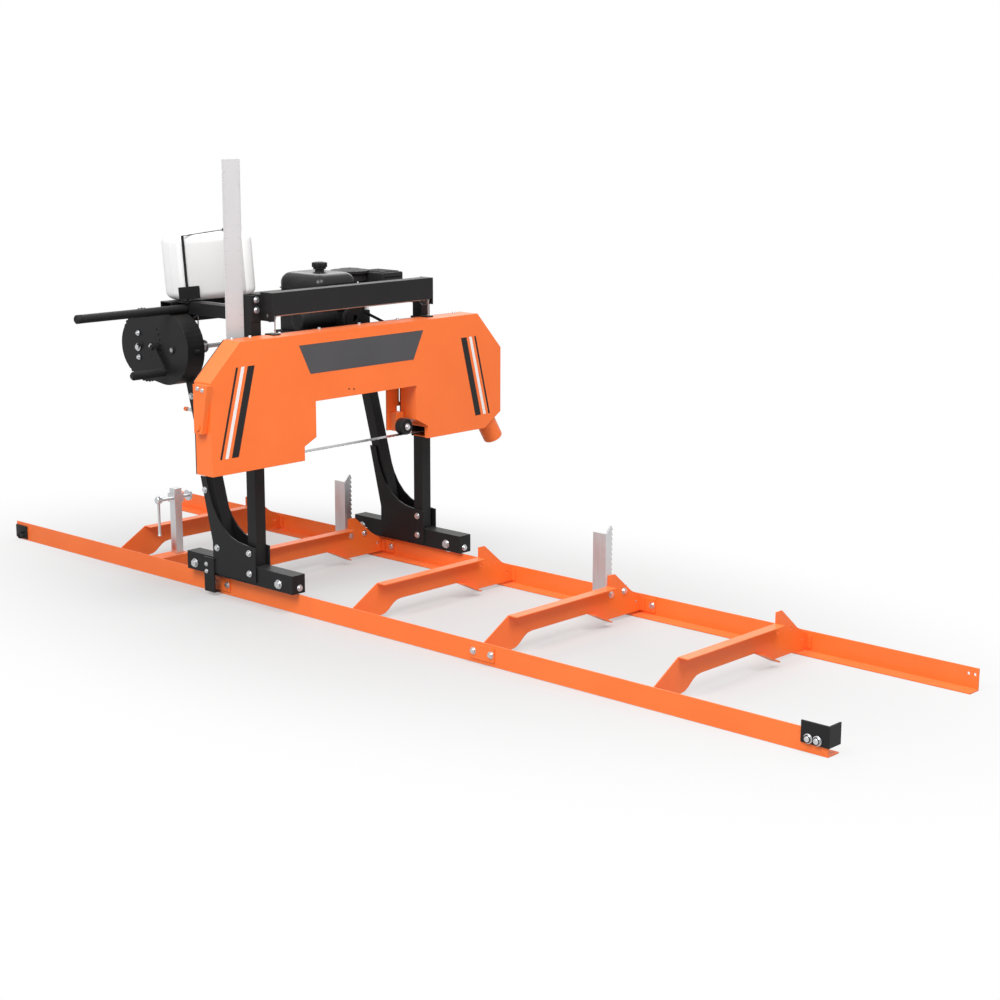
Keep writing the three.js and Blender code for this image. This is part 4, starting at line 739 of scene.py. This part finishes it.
def makeGuardFilm(look):
    low, high = boxOf("blade_guard")
    wall, face = look["wall"], high.x + look["proud"]
    centre = (low.y + high.y) / 2
    films = {"panel": bmesh.new(), "dark": bmesh.new(), "pale": bmesh.new()}
    top = high.z - look["bandTop"]
    bottom = top - look["bandHeight"]
    half, slant = look["bandHalf"], look["bandSlant"]
    plateSolid(films["panel"], [(centre - half + slant, bottom), (centre + half - slant, bottom),
                                (centre + half, top), (centre - half, top)], wall, (face, 0, 0), "x")
    foot, head = low.z + look["foot"], high.z - look["head"]
    for side in (-1, 1):
        lean = -side * (head - foot) * look["lean"] / 4
        for start, width, tone in look["stripes"]:
            inner = centre + side * ((high.y - low.y) / 2 - look["end"] + start)
            outer = inner + side * width
            points = [(inner - lean, foot), (outer - lean, foot), (outer + lean, head), (inner + lean, head)]
            plateSolid(films[tone], points[::side], wall, (face, 0, 0), "x")
    for y, z in look["spots"]:
        rodSolid(films["dark"], look["spot"], face, face + wall, (0, y, z), "x", steps=20)
    finishPiece(films["panel"], "guardPanelFilm", "darkFilm", "head")
    finishPiece(films["dark"], "guardDarkStripes", "blackFilm", "head")
    finishPiece(films["pale"], "guardPaleStripes", "whiteFilm", "head")


makeGuardFilm(guardFilm)

# Blade teeth along the lower run's front edge
bladeTeeth = {"pitch": 22, "depth": 6, "gullet": 12, "inset": 4, "edgeInset": 0.2, "tipShift": 2, "wall": 1,
              "rise": 0.05}


def makeBladeTeeth(look):
    low, high = boxOf("band_blade")
    reach = (high.z - low.z) / 2
    back, edge = high.x - look["inset"], high.x - look["edgeInset"]
    bm = bmesh.new()
    y = low.y + reach
    while y < high.y - reach - look["pitch"]:
        end = y + look["gullet"]
        points = [(back, y), (edge, y), (high.x + look["depth"], y + look["tipShift"]), (edge, end), (back, end)]
        plateSolid(bm, points, look["wall"], (0, 0, low.z + look["rise"]), "z")
        y += look["pitch"]
    finishPiece(bm, "bladeTeeth", "bladeSteel", "head")


makeBladeTeeth(bladeTeeth)

# Cable drops: each stretches between its sheave and its lug
cableDrop = {"radius": 2.9, "rings": 36, "steps": 14}


def makeCableDrop(node, look):
    low, high = boxOf(node)
    centre = middleOf(node)
    rise = high.z - low.z
    profile = [(0, low.z)] + [(look["radius"], low.z + rise * k / look["rings"]) for k in range(look["rings"] + 1)]
    bm = bmesh.new()
    turnedSolid(bm, profile + [(0, high.z)], (centre.x, centre.y, 0), "z", look["steps"])
    piece = finishPiece(bm, node.replace("_cable_drop", "CableDrop"), "ropeSteel", None, (node,))
    low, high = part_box(node)
    centre = (low + high) / 2
    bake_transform(piece)


for node in ("front_cable_drop", "back_cable_drop"):
    makeCableDrop(node, cableDrop)

# Crank grip: ribbed sleeve. A rib is (share of its length, on the waist or not)
crankGrip = {"radius": 17.6, "waist": 16.2, "bore": 6.5, "end": 3, "margin": 6, "ribs": 14,
             "rib": ((0, False), (0.3, True), (0.6, True), (0.9, False))}


def makeCrankGrip(look):
    low, high = boxOf("crank_grip")
    centre = middleOf("crank_grip")
    radius, waist, bore = look["radius"], look["waist"], look["bore"]
    profile = [(bore, low.y), (waist, low.y), (radius, low.y + look["end"])]
    step = (high.y - low.y - 2 * look["margin"]) / look["ribs"]
    for k in range(look["ribs"]):
        start = low.y + look["margin"] + k * step
        profile += [(waist if narrow else radius, start + step * share) for share, narrow in look["rib"]]
    profile += [(radius, high.y - look["end"]), (waist, high.y), (bore, high.y), (bore, low.y)]
    bm = bmesh.new()
    turnedSolid(bm, profile, (centre.x, 0, centre.z), "y", steps=40)
    finishPiece(bm, "crankGripSleeve", "blackRubber", "crank_grip", ("crank_grip",))


makeCrankGrip(crankGrip)

# Push bar: round tube with a moulded end plug
pushBar = {"plug": 22, "plugEdge": 4, "tubeInset": 0.4, "plugInset": 0.1}


def makePushBar(look):
    low, high = boxOf("push_bar")
    centre = middleOf("push_bar")
    axle = (centre.x, 0, centre.z)
    radius = (high.z - low.z) / 2
    plugEnd = low.y + look["plug"]
    bm = bmesh.new()
    rodSolid(bm, radius - look["tubeInset"], plugEnd, high.y, axle, "y", steps=40, edge=1)
    finishPiece(bm, "pushBarTube", "blackPaint", "carriage", ("push_bar",))
    plug = bmesh.new()
    rodSolid(plug, radius - look["plugInset"], low.y, plugEnd + 1, axle, "y", steps=40, edge=look["plugEdge"])
    finishPiece(plug, "pushBarPlug", "blackRubber", "carriage")


makePushBar(pushBar)
print("stage: head and carriage pieces")

# Index wheel's ratchet teeth round the disc. A tooth is (share of its pitch, raised or not)
indexTeeth = {"count": 46, "inset": 1, "height": 6, "start": -78.5, "wall": 5,
              "tooth": ((0, False), (0.22, True), (0.62, True), (0.84, False))}


def makeIndexTeeth(look):
    low, high = boxOf("index_wheel")
    radius = (high.x - low.x) / 2
    points = []
    for k in range(look["count"]):
        for share, raised in look["tooth"]:
            reach = radius + (look["height"] if raised else -look["inset"])
            angle = 2 * pi * (k + share) / look["count"]
            points.append((reach * cos(angle), reach * sin(angle)))
    centre = middleOf("index_wheel")
    bm = bmesh.new()
    plateSolid(bm, points, look["wall"], (centre.x, look["start"], centre.z), "y")
    finishPiece(bm, "indexWheelTeeth", "castBlack", "index_wheel")


makeIndexTeeth(indexTeeth)

# Spring plunger on the front leg, with a coloured knob
plungerBody = {"collar": (rodSolid, {"radius": 8, "start": 1318, "end": 1350, "steps": 6, "edge": 0.8}),
               "pin": (rodSolid, {"radius": 4.5, "start": 1290, "end": 1319, "steps": 20, "edge": 0.5})}
plungerKnob = {"knob": (rodSolid, {"radius": 8.5, "start": 1284, "end": 1304, "steps": 28, "edge": 2.4})}
plungerAxle = {"place": (0, -14, 750), "axis": "x"}
makePlain("legPlungerBody", "zincPlate", "carriage", "zinc_plate", plungerBody, **plungerAxle)
makePlain("legPlungerKnob", "orangePaint", "carriage", "orange_paint", plungerKnob, **plungerAxle)

# Guide roller: turned drum with dished ends
guideRoller = {"rim": 33.9, "rimWall": 6, "hub": 13, "bore": 6.2, "dish": 3, "slope": 1, "edge": 1.5}


def makeGuideRoller(look):
    low, high = boxOf("guide_roller")
    face = (low.x - high.x) / 2
    rim, edge, slope, bottom = look["rim"], look["edge"], look["slope"], face + look["dish"]
    inside = rim - look["rimWall"]
    profile = mirroredProfile([
        (look["bore"], face), (look["hub"], face), (look["hub"] + slope, bottom), (inside - slope, bottom),
        (inside, face), (rim - edge, face), (rim, face + edge)])
    bm = bmesh.new()
    turnedSolid(bm, profile, middleOf("guide_roller"), "x")
    finishPiece(bm, "guideRollerDrum", "castBlack", "guide_roller", ("guide_roller",))


makeGuideRoller(guideRoller)

# Zinc bolts over the plain heads: hex heads on washers, by size
boltSizes = {"hex": {"radius": 10.6, "height": 6.4, "washer": 14},
             "small": {"radius": 7, "height": 4.5, "washer": 9.5},
             "axle": {"radius": 15.6, "height": 8, "washer": 19},
             "cover": {"radius": 8, "height": 6, "washer": 10.8},
             "pivot": {"radius": 12, "height": 6, "washer": 16.2}}
boltLook = {"washerWall": 1.8, "washerTaper": 0.96, "edge": 0.8}
endStopHead = [(0, -11), (6, -10.6), (11, -8.4), (14, -4), (14.4, -1.6), (16.5, -1.5), (16.5, 0), (0, 0)]
endStopBolts = {f"bolt{x}": (turnedSolid, {"place": (x, -6.3, 48)}) for x in (4341, 4375)}
outerBolts = {"hex": [(1704, -44.3, 214), (1704, -44.3, 130), (1437, -44.3, 436), (1505, -44.3, 205),
                      (1345, -25, 809), (1372.5, -25, 711)],
              "small": [(1440, -50.3, 128), (1440, -50.3, 98)],
              "axle": [(1350, -38, 115.3), (1872, -38, 115.3)]}
innerBolts = {"hex": [(1704, 34, 214), (1704, 34, 130)], "axle": [(1350, 28, 115.3), (1872, 28, 115.3)]}
beamEndBolts = {"hex": [(1955, 0, 108), (1734.3, 0, 1227), (1734.3, 0, 1187)]}
guardBolts = (-150, -60, 90, 300, 520, 740, 920, 1080)
leverBolts = ((1806, 926), (1834, 922))
housingBolts = [(1123, 1056, "cover"), (1120, 998, "pivot"), (1124, 957, "cover"), (1207, 1010, "cover")]


def hexBolt(bm, place, direction, size):
    turn = Matrix.Translation(place) @ axisTurns[direction]
    washer, wall, height = size["washer"], boltLook["washerWall"], size["height"]
    bmesh.ops.create_cone(bm, cap_ends=True, segments=24, radius1=washer, radius2=washer * boltLook["washerTaper"],
                          depth=wall, matrix=turn @ Matrix.Translation((0, 0, wall / 2)))
    made = bmesh.ops.create_cone(bm, cap_ends=True, segments=6, radius1=size["radius"], radius2=size["radius"],
                                 depth=height, matrix=turn @ Matrix.Translation((0, 0, wall + height / 2)))
    bevelEdges(bm, made["verts"], boltLook["edge"], segments=1)


# One piece of bolts, each given as (place, direction, size)
def makeBolts(name, body, bolts):
    bm = bmesh.new()
    for place, direction, size in bolts:
        hexBolt(bm, place, direction, boltSizes[size])
    finishPiece(bm, name, "zincPlate", body)


# Bolts on the front side and, mirrored, on the back side
def bothSides(groups, direction, mirrored):
    for size, places in groups.items():
        for x, y, z in places:
            yield (x, y, z), direction, size
            yield (x, gauge - y, z), mirrored, size


makeBolts("railBolts", "bed", [
    *(((1471 * k + shift, y, 43), "-y", "hex") for k in (1, 2) for shift in (-43, 43) for y in (-4.5, 930.5)),
    *(((boxOf(node)[0].x + 4, y, 114), "x", "hex") for node in ("bunk_2", "bunk_4") for y in (741, 820))])
makePlain("endStopBolts", "zincPlate", "bed", "zinc_plate", endStopBolts, profile=endStopHead, axis="y", steps=32)
makeBolts("carriageBolts", "carriage", [
    *bothSides(outerBolts, "-y", "y"), *bothSides(beamEndBolts, "x", "x"), *bothSides(innerBolts, "y", "-y"),
    *(((x, boxOf("drive_housing")[0].y, z), "-y", size) for x, z, size in housingBolts)])
makeBolts("guardBolts", "head", [((1762, y, 1090), "z", "small") for y in guardBolts])
makeBolts("leverBolts", "tension_lever", [
    ((x, boxOf("tension_lever")[0].y, z), "-y", "small") for x, z in leverBolts])
rollerMiddle = middleOf("guide_roller")
makeBolts("guideRollerBolt", "blade_guide", [
    ((boxOf("blade_guide")[1].x, rollerMiddle.y, rollerMiddle.z), "x", "hex")])

# Clamp screw: threaded bar, hub and a sliding handle with rounded ends
clampScrew = {"bar": 8, "root": 7, "pitch": 4, "threads": 33,
              "thread": ((0.35, "root"), (0.5, "root"), (0.85, "bar"), (1, "bar")),
              "axleBelow": 20, "plain": 6, "hub": 15, "hubLength": 22, "hubEdge": 1.5,
              "handleFoot": ((0, 0), (5.88, 1), (8.4, 4), (6.72, 9), (6, 11)),
              "handleTop": ((6, 9), (6.72, 7), (8.4, 4), (5.88, 1), (0, 0))}


def makeClampScrew(look):
    low, high = boxOf("clamp_screw")
    centre = middleOf("clamp_screw")
    hub, edge = look["hub"], look["hubEdge"]
    hubEnd = low.y + look["hubLength"]
    start = hubEnd + look["plain"]
    profile = [(0, low.y), (hub - edge, low.y), (hub, low.y + edge), (hub, hubEnd - edge), (hub - edge, hubEnd),
               (look["bar"], hubEnd), (look["bar"], start)]
    for k in range(look["threads"]):
        y = start + k * look["pitch"]
        if y + look["pitch"] > high.y - 1:
            break
        profile += [(look[part], y + look["pitch"] * share) for share, part in look["thread"]]
    bm = bmesh.new()
    turnedSolid(bm, profile + [(look["root"], high.y), (0, high.y)],
                (centre.x, 0, high.z - look["axleBelow"]), "y", steps=28)
    handle = [(radius, low.z + rise) for radius, rise in look["handleFoot"]]
    handle += [(radius, high.z - fall) for radius, fall in look["handleTop"]]
    turnedSolid(bm, handle, (centre.x, low.y + look["hubLength"] / 2, 0), "z", steps=24)
    finishPiece(bm, "clampScrewBar", "zincPlate", "clamp_screw", ("clamp_screw",))


makeClampScrew(clampScrew)

# Marks along both edges of the height scale, every fifth one long
scaleMarks = {"step": 10, "wall": 0.25, "short": 7, "long": 15, "height": 1.1, "margin": 14, "start": 160,
              "edge": 1, "span": 87}


def makeScaleMarks(look):
    low, high = boxOf("height_scale")
    bm = bmesh.new()
    rise = low.z + look["start"]
    for k in range(int((high.z - look["margin"] - rise) / look["step"])):
        z = rise + k * look["step"]
        length = look["long"] if k % 5 == 0 else look["short"]
        for start, end in ((look["edge"], length), (look["span"] - length, look["span"])):
            boxSolid(bm, (high.x, low.y + start, z), (high.x + look["wall"], low.y + end, z + look["height"]))
    finishPiece(bm, "scaleMarks", "greyFilm", "head")


makeScaleMarks(scaleMarks)

# Hitch bracket at the rail's far end: a cover plate and a ring of wire
wireAngles = [2 * pi * k / 12 for k in range(12)]
hitchBracket = {
    "plate": (boxSolid, {"low": (0, -6.5, 7.5), "high": (84.5, 0, 66.5), "bevel": 1.5, "segments": 2}),
    "ring": (turnedSolid, {"profile": [(13 + 4.3 * cos(angle), 4.3 * sin(angle)) for angle in wireAngles],
                           "place": (55, -19, 25), "axis": "x", "steps": 36, "ring": True}),
}
makePlain("hitchBracketPlate", "blackPaint", "bed", "black_paint", hitchBracket)
print("stage: bolts and fittings")

# Floor: lit by the lamps near the machine, with a painted shade there, a grey oval round the bed standing in for
# the shadow gathered under it; it fades into the white studio around it
# Inside the oval the share seen and the colour give the painted shade's grey; past the fade the floor is plain
# white
floorLook = {"size": 30.0, "color": grey(0.5), "lit": grey(0.42), "roughness": 0.9, "specular": 0.1, "seen": 0.32,
             "stretch": (0.55, 1.0, 0.0), "paintedShadeFadeStart": 0.5, "paintedShadeFadeEnd": 1.75}


def makeFloor(look):
    bm = bmesh.new()
    bmesh.ops.create_grid(bm, x_segments=1, y_segments=1, size=look["size"], matrix=Matrix.Translation((0, 0, -mm)))
    mesh = bpy.data.meshes.new("studioFloor")
    bm.to_mesh(mesh)
    bm.free()
    material, tree, shader = newMaterial("studioFloor")
    lightPath = tree.nodes.new("ShaderNodeLightPath")
    color = mixColors(tree, lightPath.outputs["Is Camera Ray"], look["lit"], look["color"])
    feed(tree, shader, {"Base Color": color, "Roughness": look["roughness"],
                        "Specular IOR Level": look["specular"]})
    glow = tree.nodes.new("ShaderNodeEmission")
    feed(tree, glow, {"Color": (1, 1, 1, 1)})
    # Painted shade: the floor is grey inside this oval round the bed, squeezed along the rails, and turns white
    # past it
    squeezed = vectorMath(tree, "MULTIPLY", objectPlace(tree), look["stretch"])["Vector"]
    paintedShadeFade = tree.nodes.new("ShaderNodeMapRange")
    paintedShadeFade.interpolation_type = "SMOOTHSTEP"
    feed(tree, paintedShadeFade, {"Value": vectorMath(tree, "LENGTH", squeezed)["Value"], "From Min": look["paintedShadeFadeStart"],
                      "From Max": look["paintedShadeFadeEnd"], "To Min": look["seen"]})
    share = mathNode(tree, "MULTIPLY", seenShare(tree, lightPath), paintedShadeFade.outputs["Result"])
    mixShaders(tree, share, shader.outputs["BSDF"], glow.outputs["Emission"],
               tree.nodes["Material Output"].inputs["Surface"])
    mesh.materials.append(material)
    floor = bpy.data.objects.new("studioFloor", mesh)
    bpy.context.scene.collection.objects.link(floor)


makeFloor(floorLook)
print("stage: floor")
